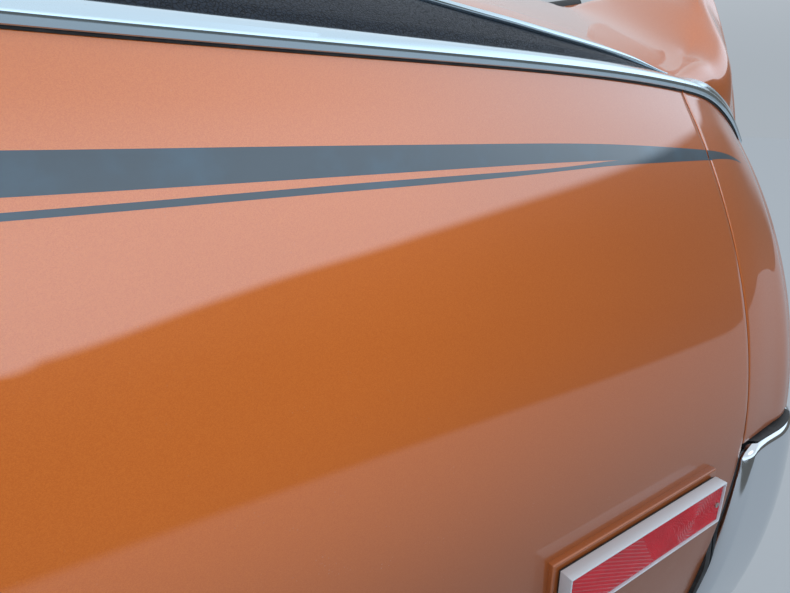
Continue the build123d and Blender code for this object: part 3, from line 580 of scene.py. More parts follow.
# %% Points of the side
EASE_FROM = 0.70
front_xs = np.linspace(FRONT_X, SEAM_TOP_X, 308)
tail_xs = np.linspace(SEAM_TOP_X, TAIL_X - TAIL_ROLL, 36)[1:]
skin_xs = np.concatenate([front_xs, tail_xs])
side_rows = np.linspace(0, 1, 62)
base_x = skin_xs[:, None] * np.ones((1, len(side_rows)))
pull = ease((base_x - EASE_FROM) / (SEAM_TOP_X - EASE_FROM))
side_x = base_x
for _ in range(3):
    side_z = side_height(side_x, side_rows[None, :])
    side_x = base_x + (seam_x(side_z) - SEAM_TOP_X) * np.where(base_x <= SEAM_TOP_X, pull, 1)
side_x = np.minimum(side_x, TAIL_X)
side_part = stack(side_x, side_w(side_x, side_z) + arch_swell(side_x, side_z), side_z)

# %% Points of the shoulder and deck
CREST_ROW = 13
CALM_FROM_X, CALM_RUN, CALM_PASSES = 0.66, 0.12, 160
top_rows = np.concatenate([np.linspace(0, 1, 15)[1:], np.linspace(1, 2, 22)[1:]])
top_x = skin_xs[:, None] * np.ones((1, len(top_rows)))
top_part = stack(top_x, *shoulder(top_x, top_rows[None, :]))


def soften(points, row, reach, times):
    """Rounds a sharp row of a grid by averaging it with its neighbours."""
    for _ in range(times):
        band = points[:, row - reach:row + reach + 1]
        band[:, 1:-1] = 0.5 * band[:, 1:-1] + 0.25 * (band[:, :-2] + band[:, 2:])


soften(top_part, CREST_ROW, 4, 3)
calming = np.clip((skin_xs - CALM_FROM_X) / CALM_RUN, 0, 1)[1:-1, None]
for _ in range(CALM_PASSES):
    middle = top_part[1:-1, CREST_ROW + 1:-1, 2]
    fore_aft = (top_part[:-2, CREST_ROW + 1:-1, 2] + top_part[2:, CREST_ROW + 1:-1, 2]) / 2
    across = (top_part[1:-1, CREST_ROW:-2, 2] + top_part[1:-1, CREST_ROW + 2:, 2]) / 2
    middle += calming * (0.25 * (fore_aft - middle) + 0.25 * (across - middle))


# %% Roll the tail edge and lay the panel
def inward(points):
    """Unit vectors across each section that point into the body."""
    along = np.gradient(points[..., 1:], axis=1)
    along /= np.linalg.norm(along, axis=-1, keepdims=True)
    return np.stack([np.zeros_like(along[..., 0]), -along[..., 1], along[..., 0]], axis=-1)


def roll_in(points, roll, lip):
    """Extra columns that carry a grid's last column round a bend and into a lip."""
    last, into = points[-1], inward(points)[-1]
    columns = []
    for degrees in (18, 36, 54, 72, 90):
        bend = math.radians(degrees)
        columns.append(last + into * roll * (1 - math.cos(bend)) + (roll * math.sin(bend), 0, 0))
    columns.append(columns[-1] + into * lip)
    return np.concatenate([points, np.stack(columns)])


skin_points = roll_in(np.concatenate([side_part, top_part], axis=1), TAIL_ROLL, TAIL_LIP)
outer_panel = lay_grid("outer_panel", skin_points)
print("panel grid", skin_points.shape)

# %% Trim the panel to its joint and window slot
WINDOW_SLOT_IN = 0.044
SAIL_FRONT_X = -0.330
belt_row = len(side_rows) - 1
seam_column = len(front_xs) - 1
columns_across = skin_points.shape[0] - 1


def outside_panel(face):
    """True behind the joint on the side, and inboard of the slot under the window."""
    row, column = divmod(face.index, columns_across)
    x, w, z = skin_points[column, row]
    behind = row < belt_row and column >= seam_column
    window = row > belt_row and skin_points[column + 1, row, 0] < SAIL_FRONT_X
    return behind or (window and BODY["belt_w"](x) - w > WINDOW_SLOT_IN)


delete_faces(outer_panel, outside_panel)
print("trimmed panel:", len(outer_panel.data.polygons), "faces")


# %% Thickness, wheel opening and edges
def round_cutter(name, x, z, w0, w1, radius, vertices):
    """Cylinder across the body, for cutting round openings."""
    clear_selection()
    bpy.ops.mesh.primitive_cylinder_add(vertices=vertices, radius=radius, depth=w1 - w0,
                                        location=(x, -(w0 + w1) / 2, z), rotation=(math.pi / 2, 0, 0))
    cutter = bpy.context.object
    cutter.name = name
    return cutter


def cut(piece, cutter):
    """Takes the cutter's shape out of a piece."""
    apply_modifier(piece, "BOOLEAN", operation="DIFFERENCE", object=cutter, solver="EXACT")
    bpy.data.objects.remove(cutter)


apply_modifier(outer_panel, "SOLIDIFY", thickness=SKIN, offset=-1, material_offset=1)
cut(outer_panel, round_cutter("wheel_opening", 0, AXLE_Z, 0.15, 0.45, ARCH_R, 256))
bevel_edges(outer_panel, 0.0005, 2, 55)
smooth(outer_panel)
finish_piece(outer_panel, "body_paint", ["quarter_skin"], body_paint, inner_paint)

# %% [markdown]
# The end extension.
# A separate cap closes the corner behind the joint. It has the same surface as the panel, so it
# is laid on the same curves, from a seam's width behind the joint to the tail, where it rolls
# in. The dark strip in the joint is its seal.

# %% End extension
BUMPER_TOP_Z = -0.016
EXTENSION_LOW_Z = BUMPER_TOP_Z + 0.005
EXTENSION_DROP = 0.0045
END_ROLL, END_LIP = 0.018, 0.014


def band_points(start, end, low, top_drop, columns, rows):
    """Grid on the side between two lines of x, each a function of height."""
    share = np.linspace(0, 1, columns)[:, None] * np.ones((1, rows))
    x = np.full_like(share, 1.05)
    for _ in range(4):
        top = BODY["belt_z"](x) - top_drop
        z = low + (top - low) * np.linspace(0, 1, rows)[None, :]
        x = start(z) + (end(z) - start(z)) * share
    return stack(x, side_w(x, z), z)


extension_points = band_points(lambda z: seam_x(z) + SEAM, lambda z: 0 * z + TAIL_X - END_ROLL,
                               EXTENSION_LOW_Z, EXTENSION_DROP, 34, 60)
end_cap = lay_grid("end_cap", roll_in(extension_points, END_ROLL, END_LIP))
apply_modifier(end_cap, "SOLIDIFY", thickness=SKIN, offset=-1, material_offset=1)
bevel_edges(end_cap, 0.0006, 2, 55)
smooth(end_cap)
finish_piece(end_cap, "body_paint", ["quarter_extension"], body_paint, inner_paint)

# %% Seal in the joint
SEAL_DROP, SEAL_DEPTH, JOINT_GAP = 0.007, 0.005, 0.0003
seal_points = band_points(lambda z: seam_x(z) + JOINT_GAP, lambda z: seam_x(z) + SEAM - JOINT_GAP,
                          EXTENSION_LOW_Z, SEAL_DROP, 5, 70)
seal_sink = np.array([0.0016, 0.0011, 0.0009, 0.0011, 0.0016])[:, None, None]
joint_seal = lay_grid("joint_seal", seal_points + inward(seal_points) * seal_sink)
apply_modifier(joint_seal, "SOLIDIFY", thickness=SEAL_DEPTH, offset=-1)
smooth(joint_seal)
finish_piece(joint_seal, "rubber", ["extension_seal"], rubber)

# %% [markdown]
# The side stripes.
# Two tapes run along the side and taper to one point behind the joint. Each edge is a smooth
# curve of depth below the belt, measured along the body. Drawn as geometry they keep a crisp
# edge at any distance, and they lie a tenth of a millimetre proud of the paint, as tape does.

# %% Stripe and pinstripe
STRIPE_XS = (FRONT_X, 0.0, 0.455, 0.548, 0.692, 0.804, 0.875, 0.950, 1.017, 1.064)
STRIPE_TOP = curve_through(STRIPE_XS, (0.0420, 0.0465, 0.0500, 0.0504, 0.0520, 0.0530, 0.0540, 0.0545,
                                       0.0533, 0.0506))
STRIPE_LOW = curve_through(STRIPE_XS, (0.0740, 0.0705, 0.0668, 0.0663, 0.0658, 0.0651, 0.0650, 0.0646,
                                       0.0590, 0.0512))
PIN_XS = (FRONT_X, 0.0, 0.455, 0.592, 0.708, 0.797, 0.841, 0.878, 0.946, 0.993)
PIN_TOP = curve_through(PIN_XS, (0.0820, 0.0768, 0.0722, 0.0702, 0.0695, 0.0675, 0.0651, 0.0645, 0.0640,
                                 0.0618))
PIN_LOW = curve_through(PIN_XS, (0.0878, 0.0812, 0.0753, 0.0738, 0.0728, 0.0701, 0.0686, 0.0676, 0.0650,
                                 0.0624))
TAPE = 0.00012


def tape_strip(name, x_start, x_end, top, low, columns):
    """Thin strip on the side between two depth curves."""
    share = np.linspace(0, 1, columns)[:, None] * np.ones((1, 5))
    across = np.linspace(0, 1, 5)[None, :]
    x = x_start + (x_end - x_start) * share
    depth = low(x) + (top(x) - low(x)) * across
    z = BODY["belt_z"](x) - depth
    strip = lay_grid(name, stack(x, side_w(x, z) + TAPE, z))
    apply_modifier(strip, "SOLIDIFY", thickness=TAPE * 0.8, offset=-1)
    smooth(strip, 20)
    finish_piece(strip, "vinyl", [], stripe_tape)


STRIPE_Z = 0.27
stripe_joint_x = float(seam_x(STRIPE_Z))
tape_strip("side_stripe", FRONT_X, stripe_joint_x, STRIPE_TOP, STRIPE_LOW, 300)
tape_strip("side_stripe_tip", stripe_joint_x + SEAM, STRIPE_XS[-1], STRIPE_TOP, STRIPE_LOW, 30)
tape_strip("side_pinstripe", FRONT_X, PIN_XS[-1], PIN_TOP, PIN_LOW, 300)

# %% [markdown]
# The belt moulding.
# A bright strip caps the belt corner: a broad face that looks up at the sky and a narrow one that
# turns under at a crease. Beneath it lies a thin black strip, a painted shade: a dark piece put
# where the moulding's shade line falls. A swept strip is the way to make such trim: one closed
# outline, carried along the belt. It comes in two lengths that meet above the panel joint.

# %% Closed strips along the body
def close_tube(piece):
    """Joins a tube's first and last rows, and closes its two ends with flat caps."""
    clear_selection()
    bpy.context.view_layer.objects.active = piece
    bpy.ops.object.mode_set(mode="EDIT")
    bpy.ops.mesh.select_mode(type="VERT")
    bpy.ops.mesh.select_all(action="SELECT")
    bpy.ops.mesh.remove_doubles(threshold=1e-6)
    bpy.ops.mesh.select_all(action="DESELECT")
    bpy.ops.mesh.select_non_manifold()
    bpy.ops.mesh.fill_holes(sides=0)
    bpy.ops.mesh.select_all(action="SELECT")
    bpy.ops.mesh.normals_make_consistent(inside=False)
    bpy.ops.object.mode_set(mode="OBJECT")


def sweep(name, xs, outline):
    """Tube whose outline(x) gives closed (w, z) corners for each x."""
    loops = []
    for x in xs:
        corners = np.array(outline(x))
        loop = np.vstack([corners, corners[:1]])
        loops.append(np.column_stack([np.full(len(loop), x), loop]))
    piece = lay_grid(name, np.array(loops))
    close_tube(piece)
    return piece


# %% Belt moulding
UNDER = ((0.0046, 0.0008), (0.0060, 0.0012), (0.0065, 0.0022), (0.0062, 0.0030), (0.0046, 0.0043),
         (0.0030, 0.0055), (0.0024, 0.0057), (0.0011, 0.0056))    # down the side, outward
OVER = ((0.0014, 0.0052), (0.0032, 0.0047), (0.0055, 0.0038), (0.0074, 0.0027), (0.0087, 0.0016),
        (0.0091, 0.0009), (0.0086, 0.0004), (0.0030, 0.0004))     # up the shoulder, outward
BREAK_OUT, BACK_OUT, BACK_FOOT = 0.0056, 0.0004, (0.0020, 0.0005)


def belt_frame(x):
    """Belt corner, directions down the side and up the shoulder, and the corner's outward one."""
    corner = np.array([float(BODY["belt_w"](x)), float(BODY["belt_z"](x))])
    below = corner[1] - 0.008
    down = np.array([float(side_w(x, below)), below]) - corner
    up = np.array([float(v) for v in shoulder(x, 0.25)]) - corner
    down, up = down / np.linalg.norm(down), up / np.linalg.norm(up)
    return corner, down, up, np.array([-down[1], down[0]])


def belt_outline(x):
    """Outline of the moulding: under face, break edge, top face and back."""
    corner, down, up, out = belt_frame(x)
    over = np.array([up[1], -up[0]])
    crest = (out + over) / np.linalg.norm(out + over)
    under_face = [corner + down * along + out * off for along, off in UNDER]
    top_face = [corner + up * along + over * off for along, off in OVER]
    back = [corner + crest * BACK_OUT, corner + down * BACK_FOOT[0] + out * BACK_FOOT[1]]
    return under_face + [corner + crest * BREAK_OUT] + top_face + back


for name, node, x0, x1, count in (
        ("belt_trim_front", "belt_moulding", FRONT_X, SEAM_TOP_X, 220),
        ("belt_trim_rear", "belt_moulding_rear", SEAM_TOP_X + JOINT_GAP, TAIL_X - 0.001, 60)):
    trim = sweep(name, np.linspace(x0, x1, count), belt_outline)
    smooth(trim, 28)
    finish_piece(trim, "bright_trim", [node], bright_trim)

# %% Black strip under the moulding, a painted shade
# Painted shade: a thin black strip under the moulding, where its shade line falls.
TRIM_SHADE_STRIP = ((0.0046, 0.0002), (0.0074, 0.0001), (0.0074, 0.0006), (0.0068, 0.0010),
             (0.0048, 0.0010))    # down the side, outward


def trim_shade_strip_outline(x):
    corner, down, up, out = belt_frame(x)
    return [corner + down * along + out * off for along, off in TRIM_SHADE_STRIP]


for name, x0, x1, count in (("trim_shade_strip_front", FRONT_X, SEAM_TOP_X, 160),
                            ("trim_shade_strip_rear", SEAM_TOP_X + SEAM + 0.001, TAIL_X - 0.004, 40)):
    shade_strip = sweep(name, np.linspace(x0, x1, count), trim_shade_strip_outline)
    smooth(shade_strip)
    finish_piece(shade_strip, "rubber", [], rubber)

# %% [markdown]
# Vinyl wedge and the strip that ends it.
# Behind the roof the vinyl runs out along the shoulder as a long wedge. Its lower edge is tucked
# behind the belt moulding, its upper edge under a thin half-round strip. Both are laid on the
# shoulder by their distance inboard of the belt.

# %% Upper edge of the wedge
WEDGE_TIP_X = SEAM_TOP_X - 0.013
SAIL_BACK_X = 0.420
WEDGE_FRONT_IN, WEDGE_START_IN, TIP_IN = 0.132, 0.0055, 0.0110
WEDGE_EDGE = curve_through((SAIL_BACK_X, 0.56, 0.70, 0.755, 0.818, 0.90, WEDGE_TIP_X),
                           (WEDGE_FRONT_IN, 0.078, 0.0365, 0.0262, 0.0190, 0.0150, TIP_IN), level=True)


def wedge_inner(x):
    """Outboard distance of the wedge's upper edge, a slightly hollow curve from sail to tip."""
    sail_w = float(BODY["belt_w"](SAIL_BACK_X)) - WEDGE_FRONT_IN
    return float(BODY["belt_w"](x) - WEDGE_EDGE(x)) if x > SAIL_BACK_X else sail_w


def on_shoulder(x, inboard, out=0.0):
    """(w, z) on the shoulder at a distance inboard of the belt, moved off it by out."""
    w, z = shoulder(np.full(160, x), np.linspace(0, 2, 160))
    depth = w[0] - w
    height = np.interp(inboard, depth, z)
    slope = np.interp(inboard, depth, np.gradient(z) / np.gradient(depth))
    length = np.sqrt(1 + slope**2)
    return w[0] - inboard + out * slope / length, height + out / length


# %% Vinyl wedge
WEDGE_ROWS = 26
wedge_columns = []
for x in np.linspace(SAIL_FRONT_X, WEDGE_TIP_X, 180):
    wedge_end_in = max(float(BODY["belt_w"](x)) - wedge_inner(x), WEDGE_START_IN + 0.0008)
    rows = WEDGE_START_IN + (wedge_end_in - WEDGE_START_IN) * np.linspace(0, 1, WEDGE_ROWS)
    edge = np.minimum(rows - WEDGE_START_IN, wedge_end_in - rows)
    w, z = on_shoulder(x, rows, 0.0006 + 0.0016 * ease(edge / 0.006))
    wedge_columns.append(np.column_stack([np.full(WEDGE_ROWS, x), w, z]))
wedge_cover = lay_grid("wedge_cover", np.array(wedge_columns))
apply_modifier(wedge_cover, "SOLIDIFY", thickness=0.0006, offset=-1)
smooth(wedge_cover)
finish_piece(wedge_cover, "vinyl", ["vinyl_wedge"], vinyl)

# %% Divider moulding
DIVIDER_W = 0.006
DIVIDER_SHAPE = ((0, 0.0004), (0, 0.0026), (0.05, 0.0036), (0.18, 0.0042), (0.40, 0.0045),
                 (0.62, 0.0042), (0.85, 0.0030), (0.97, 0.0016), (1.0, 0.0004))   # share across, height


def divider_outline(x):
    """Half-round outline that lies on the shoulder along the wedge's upper edge."""
    inner = float(BODY["belt_w"](x)) - wedge_inner(min(x, WEDGE_TIP_X)) + 0.0003
    taper = 0.35 + 0.65 * float(ease((WEDGE_TIP_X + 0.012 - x) / 0.060))
    return [np.array(on_shoulder(x, inner + share * DIVIDER_W * taper, tall * taper))
            for share, tall in DIVIDER_SHAPE]


divider = sweep("divider_strip", np.linspace(SAIL_BACK_X, WEDGE_TIP_X + 0.008, 120), divider_outline)
smooth(divider, 30)
finish_piece(divider, "bright_trim", ["divider_moulding"], bright_trim)

# %% [markdown]
# Side marker lamp.
# A painted pad raises the lamp off the side. On it lie a gasket, a bright frame and a ribbed red
# lens held by two screws. The frame starts as a cube: its two broad faces are inset and bridged
# into a window, and the edges are bevelled.

# %% Pad and gasket
MARKER_X, MARKER_Z = 0.850, -0.03875
MARKER_L, MARKER_H = 0.209, 0.0435
PAD_MARGIN, PAD_BACK_W, PAD_FACE_W = 0.005, 0.318, 0.3284
GAP, GASKET = 0.0003, 0.0018
LENS_BACK_W = PAD_FACE_W + 2 * GAP + GASKET
BEZEL_DEPTH, BEZEL_RIM = 0.0112, 0.0013
BEZEL_FACE_W = LENS_BACK_W + BEZEL_DEPTH


def add_box(name, low, high):
    """Cube primitive between two corners (x, w, z), with its place in its mesh."""
    clear_selection()
    middle = [(a + b) / 2 for a, b in zip(low, high)]
    bpy.ops.mesh.primitive_cube_add(size=1, location=(middle[0], -middle[1], middle[2]))
    box = bpy.context.object
    box.name = box.data.name = name
    box.scale = [b - a for a, b in zip(low, high)]
    bpy.ops.object.transform_apply(location=True, rotation=True, scale=True)
    return box


def marker_box(name, margin, w0, w1):
    """Box in the lamp's outline, a margin larger all round."""
    half_l, half_h = MARKER_L / 2 + margin, MARKER_H / 2 + margin
    return add_box(name, (MARKER_X - half_l, w0, MARKER_Z - half_h),
                   (MARKER_X + half_l, w1, MARKER_Z + half_h))


pad = marker_box("lamp_pad", PAD_MARGIN, PAD_BACK_W, PAD_FACE_W)
bevel_edges(pad, 0.0014, 5)
smooth(pad)
finish_piece(pad, "body_paint", ["marker_pad"], body_paint)

gasket = marker_box("lamp_gasket", -0.0012, PAD_FACE_W + GAP, LENS_BACK_W - GAP)
bevel_edges(gasket, 0.0006, 2)
smooth(gasket)
finish_piece(gasket, "rubber", ["marker_gasket"], rubber)

# %% Bright frame
bezel = marker_box("lamp_frame", 0, LENS_BACK_W, BEZEL_FACE_W)
pick_faces(bezel, lambda face: abs(face.normal.y) > 0.9)
bpy.ops.mesh.inset(thickness=BEZEL_RIM, depth=0)
bpy.ops.mesh.bridge_edge_loops()
bpy.ops.object.mode_set(mode="OBJECT")
bevel_edges(bezel, 0.00035, 3)
smooth(bezel)
finish_piece(bezel, "chrome", ["marker_bezel"], satin_frame)

# %% Ribbed lens
LENS_FACE_W = BEZEL_FACE_W - 0.0012
RIB_H, LENS_WALL = 0.0007, 0.0045
lens_half = np.array([MARKER_L / 2 - BEZEL_RIM - GAP, MARKER_H / 2 - BEZEL_RIM - GAP])
lens_x, lens_z = np.broadcast_arrays(np.linspace(-1, 1, 303)[:, None] * lens_half[0],
                                     np.linspace(-1, 1, 59)[None, :] * lens_half[1])
lens_share = (lens_x / lens_half[0] + 1) / 2


def ridges(distance, pitch):
    """Saw-edged ridges, 0 in the valleys and 1 on the tops."""
    return 1 - np.abs((distance / pitch) % 1 - 0.5) * 2


slanted = ridges(lens_z * 0.90 + lens_x * 0.43, 0.0034)
fans = ridges(lens_z * 0.55 - lens_x * 0.83, 0.0026)
rings = ridges(np.hypot((lens_share - 0.80) * 2 * lens_half[0], lens_z), 0.0030)
border = lens_share + 0.06 * lens_z / lens_half[1]
relief = np.where(border < 0.47, slanted, np.where(border < 0.65, fans * 0.6, rings * 0.7)) * RIB_H
to_edge = np.minimum(lens_half[0] - np.abs(lens_x), lens_half[1] - np.abs(lens_z))
relief = relief * ease(to_edge / 0.0015)
lens = lay_grid("lamp_lens", stack(MARKER_X + lens_x, LENS_FACE_W - 0.0008 + relief, MARKER_Z + lens_z))
apply_modifier(lens, "SOLIDIFY", thickness=LENS_WALL, offset=-1)
smooth(lens, 12)
finish_piece(lens, "red_lens", ["marker_lens"], red_lens)

# %% Screws
SCREW_R, SCREW_INSET = 0.0026, 0.009


def join(pieces, name):
    """Joins pieces into the first one."""
    clear_selection()
    for piece in pieces:
        piece.select_set(True)
    bpy.context.view_layer.objects.active = pieces[0]
    bpy.ops.object.join()
    pieces[0].name = pieces[0].data.name = name
    return pieces[0]


def add_bar(name, x, z, w0, w1, radius, vertices=40):
    """Cylinder primitive across the body, with its place in its mesh."""
    bar = round_cutter(name, x, z, w0, w1, radius, vertices)
    bpy.ops.object.transform_apply(location=True, rotation=True, scale=True)
    return bar


def add_screw(x):
    """Domed screw with a cross recess."""
    face_w = BEZEL_FACE_W - GAP
    screw = add_bar("screw", x, MARKER_Z, LENS_BACK_W, face_w, SCREW_R)
    pick_faces(screw, lambda face: face.normal.y < -0.9)
    bpy.ops.mesh.inset(thickness=0.0008, depth=0.0002)
    bpy.ops.object.mode_set(mode="OBJECT")
    for wide, tall in ((0.0015, 0.00035), (0.00035, 0.0015)):
        slot_cutter = add_box("slot", (x - wide, face_w - 0.0008, MARKER_Z - tall),
                              (x + wide, face_w + 0.002, MARKER_Z + tall))
        cut(screw, slot_cutter)
    return screw


screws = join([add_screw(MARKER_X - MARKER_L / 2 + SCREW_INSET),
               add_screw(MARKER_X + MARKER_L / 2 - SCREW_INSET)], "lamp_screws")
smooth(screws)
finish_piece(screws, "zinc_steel", ["marker_screws"], zinc_steel)

# %% [markdown]
# Bumper end.
# A pressed and plated channel wraps the corner: a tall crowned face that tucks in towards its
# foot, with a level ledge above and below. It is a sweep again, along a path that runs rearward,
# round the corner and across the tail. Its front end follows the joint's slant, is rounded both
# in plan and in side view, and closes with a wall; a flange closes the other end.

# %% Profile of the bumper end
BUMPER_H, BUMPER_BULGE, BUMPER_TUCK = 0.236, 0.00898, 0.012
BUMPER_FRONT_X = SEAM_TOP_X + SEAM_LEAN + 0.010
BUMPER_SIDE_W = 0.3288
BUMPER_SIDE_L, BUMPER_CORNER_R, BUMPER_INNER_W = 0.057, 0.108, 0.060
BUMPER_LEDGE, EDGE_R = 0.034, 0.009
NOSE_R, PLAN_R = 0.022, 0.012     # the front corners, in side view and in plan
BUMPER_PLATE = 0.003
BUMPER_HALF = BUMPER_H / 2
BUMPER_MIDDLE_Z = BUMPER_TOP_Z - BUMPER_HALF


def bumper_profile():
    """(out, up) points from the lower ledge's back edge to the upper one's, out from the side."""
    t = np.linspace(-1, 1, 37)
    face = [(BUMPER_BULGE * (1 - s * s) - BUMPER_TUCK * (1 - s) / 2, s * (BUMPER_HALF - EDGE_R))
            for s in t]
    turns = np.radians(range(15, 91, 15))
    bend = [(EDGE_R * (math.cos(a) - 1), EDGE_R * (math.sin(a) - 1)) for a in turns]
    ledge = [(-EDGE_R - d, 0) for d in np.linspace(0.004, BUMPER_LEDGE - EDGE_R, 7)]
    edge = bend + ledge
    low = [(face[0][0] + o, -BUMPER_HALF - u) for o, u in edge[::-1]]
    return np.array(low + face + [(o, BUMPER_HALF + u) for o, u in edge])


PROFILE = bumper_profile()
print("bumper profile:", len(PROFILE), "points")


# %% Path of the bumper end
def squeezed(run):
    """Heights of the profile near the front, where its upper and lower corners are rounded."""
    gap = max(NOSE_R - run, 0)
    left = math.sqrt(max(NOSE_R**2 - gap**2, 0)) / NOSE_R
    size, flat = np.abs(PROFILE[:, 1]), BUMPER_HALF - NOSE_R
    return np.sign(PROFILE[:, 1]) * np.where(size > flat, flat + (size - flat) * left, size)


def front_column(run, out):
    """Points a run behind the slanted front edge, at distances out from the side."""
    z = BUMPER_MIDDLE_Z + squeezed(run)
    return stack(BUMPER_FRONT_X - SEAM_FOOT_SLOPE * np.maximum(-z, 0) + run, BUMPER_SIDE_W + out, z)


columns = []
for inward_share in np.linspace(1, 0.1, 6):
    wall = -PLAN_R - (BUMPER_LEDGE - PLAN_R) * inward_share
    columns.append(front_column(0.0012 * (1 - inward_share), np.minimum(PROFILE[:, 0], wall)))
for turn in np.radians(np.linspace(0, 90, 10)):
    run = PLAN_R * (1 - math.cos(turn)) + 0.0012
    cap = PLAN_R * (1 - math.sin(turn))
    columns.append(front_column(run, np.minimum(PROFILE[:, 0] - cap, -cap + BUMPER_BULGE)))
corner_x, corner_w = BUMPER_FRONT_X + BUMPER_SIDE_L, BUMPER_SIDE_W - BUMPER_CORNER_R
for share in np.linspace(0, 1, 14)[1:]:
    column = front_column(PLAN_R + 0.002 + 0.012 * min(share * 2, 1), PROFILE[:, 0])
    column[:, 0] += (corner_x - column[:, 0]) * share
    columns.append(column)
profile_z = BUMPER_MIDDLE_Z + PROFILE[:, 1]
for turn in np.radians(np.linspace(0, 90, 33)[1:]):
    reach = BUMPER_CORNER_R + PROFILE[:, 0]
    columns.append(stack(corner_x + reach * math.sin(turn), corner_w + reach * math.cos(turn), profile_z))
for w in np.linspace(corner_w, BUMPER_INNER_W, 12)[1:]:
    columns.append(stack(corner_x + BUMPER_CORNER_R + PROFILE[:, 0], w, profile_z))
for share in (0.2, 0.6, 1.0):
    wall = np.minimum(PROFILE[:, 0], BUMPER_BULGE - (BUMPER_LEDGE + BUMPER_BULGE) * share)
    columns.append(stack(corner_x + BUMPER_CORNER_R + wall, BUMPER_INNER_W, profile_z))
print("bumper path:", len(columns), "columns")

# %% Bumper end and its splice holes
SPLICE_SPACING, SPLICE_HOLE_R = 0.070, 0.0055
bumper = lay_grid("bumper_corner", np.array(columns))
apply_modifier(bumper, "WELD", merge_threshold=0.00002)
apply_modifier(bumper, "SOLIDIFY", thickness=BUMPER_PLATE, offset=-1)
splice_x = corner_x + BUMPER_CORNER_R - BUMPER_LEDGE / 2
for side in (-1, 1):
    z = BUMPER_MIDDLE_Z + side * SPLICE_SPACING / 2
    cut(bumper, round_cutter("splice_hole", splice_x, z, BUMPER_INNER_W - 0.03, BUMPER_INNER_W + 0.03,
                             SPLICE_HOLE_R, 32))
smooth(bumper, 35)
finish_piece(bumper, "chrome", ["bumper_end"], chrome)

# %% [markdown]
# Rubber between body and bumper.
# A black strip fills the gap behind the panel's rear edge, turns rearward under the end cap and
# lies on the bumper's ledge, so that no daylight shows between body and chrome. It is laid on
# the body's curves in three runs, joined into one piece.

# %% Runs along the joint and under the cap
FILLER_IN, FILLER_T = 0.005, 0.008
FILLER_LOW_Z, SHELF_Z = -0.212, BUMPER_TOP_Z + 0.0013
SWELL_Z, SWELL, SWELL_RUN = -0.11, 0.009, 0.05    # below SWELL_Z the rubber bulges outward
z = (FILLER_LOW_Z + (SHELF_Z - FILLER_LOW_Z) * np.linspace(0, 1, 40))[None, :] * np.ones((6, 1))
x = seam_x(z) + np.linspace(0.0003, 0.0097, 6)[:, None]
crown = 0.0012 * np.sin(np.linspace(0, np.pi, 6))[:, None] + SWELL * ease((SWELL_Z - z) / SWELL_RUN)
upright = lay_grid("upright_run", stack(x, side_w(x, z) - FILLER_IN + crown, z))
x = np.linspace(SEAM_TOP_X + SEAM_LEAN + 0.0004, TAIL_X - 0.002, 40)[:, None] * np.ones((1, 4))
z = np.linspace(SHELF_Z, BUMPER_TOP_Z + 0.0047, 4)[None, :] * np.ones((40, 1))
level = lay_grid("level_run", stack(x, side_w(x, z) - FILLER_IN, z))
for run in (upright, level):
    apply_modifier(run, "SOLIDIFY", thickness=FILLER_T, offset=-1)

# %% Apron on the bumper's ledge, and all three joined
APRON_T = 0.001
x = np.linspace(BUMPER_FRONT_X + 0.005, TAIL_X - 0.010, 40)[:, None] * np.ones((1, 14))
chrome_w = corner_w + np.sqrt(BUMPER_CORNER_R**2 - np.maximum(x - corner_x, 0) ** 2)
body_w = side_w(x, BUMPER_TOP_Z + 0.003) - FILLER_IN - 0.001
apron_w = chrome_w - EDGE_R * 0.50 - 0.008 * (1 - ease((x - x[0, 0]) / 0.014))
w = apron_w + (body_w - apron_w) * np.linspace(0, 1, 14)[None, :]
fall = EDGE_R - np.sqrt(EDGE_R**2 - np.clip(w - chrome_w + EDGE_R, 0, EDGE_R) ** 2)
apron = lay_grid("ledge_run", stack(x, w, SHELF_Z - fall))
apply_modifier(apron, "SOLIDIFY", thickness=APRON_T, offset=-1)
filler = join([upright, level, apron], "bumper_filler_strip")
smooth(filler)
finish_piece(filler, "rubber", ["bumper_filler"], rubber)

# %% [markdown]
# Wheelhouse and the other inner pieces.
# These keep the CAD's exact shapes, which are plain pressings, and get their real finishes.

# %% Dress the nodes that keep their shape
def dress(material, *names):
    """Gives CAD nodes a finish and leaves their shape."""
    for name in names:
        nodes[name].data.materials.clear()
        nodes[name].data.materials.append(material)


dress(inner_paint, "inner_wheelhouse", "outer_wheelhouse", "arch_hem", "lock_pillar", "rocker_end",
      "drop_floor", "front_brace", "middle_brace", "rear_brace", "tail_panel", "belt_doubler",
      "deck_gutter", "bumper_arm")
dress(body_paint, "sail_panel")
dress(vinyl, "sail_vinyl")
dress(rubber, "window_seal", "gutter_rubber")
dress(zinc_steel, "door_striker", "bumper_bolt")
dress(socket_plastic, "marker_socket")
print("kept shapes:", sum(bool(node.data.materials) for node in nodes.values()))

# %% [markdown]
# Camera.
# The photograph looks down and rearward along the side from close by, through a wide phone
# lens. The camera is set by its place, by the directions of its frame, and by its lens.

# %% Camera
CAMERA_AT = Vector((0.450, -0.555, 0.326))
CAMERA_RIGHT = Vector((0.836, -0.5487, 0.0)).normalized()
CAMERA_AHEAD = Vector((0.517, 0.7875, -0.3355)).normalized()
CAMERA_UP = CAMERA_RIGHT.cross(CAMERA_AHEAD).normalized()
CAMERA_LENS = 27.02
clear_selection()
bpy.ops.object.camera_add(location=CAMERA_AT)
camera = bpy.context.object
camera.name = "camera"
axes = Matrix((CAMERA_RIGHT, CAMERA_UP, -CAMERA_AHEAD)).transposed()
camera.matrix_world = Matrix.Translation(CAMERA_AT) @ axes.to_4x4()
camera.data.lens = CAMERA_LENS
camera.data.clip_start = 0.01
bpy.context.scene.camera = camera
print("camera at", [round(v, 3) for v in CAMERA_AT])
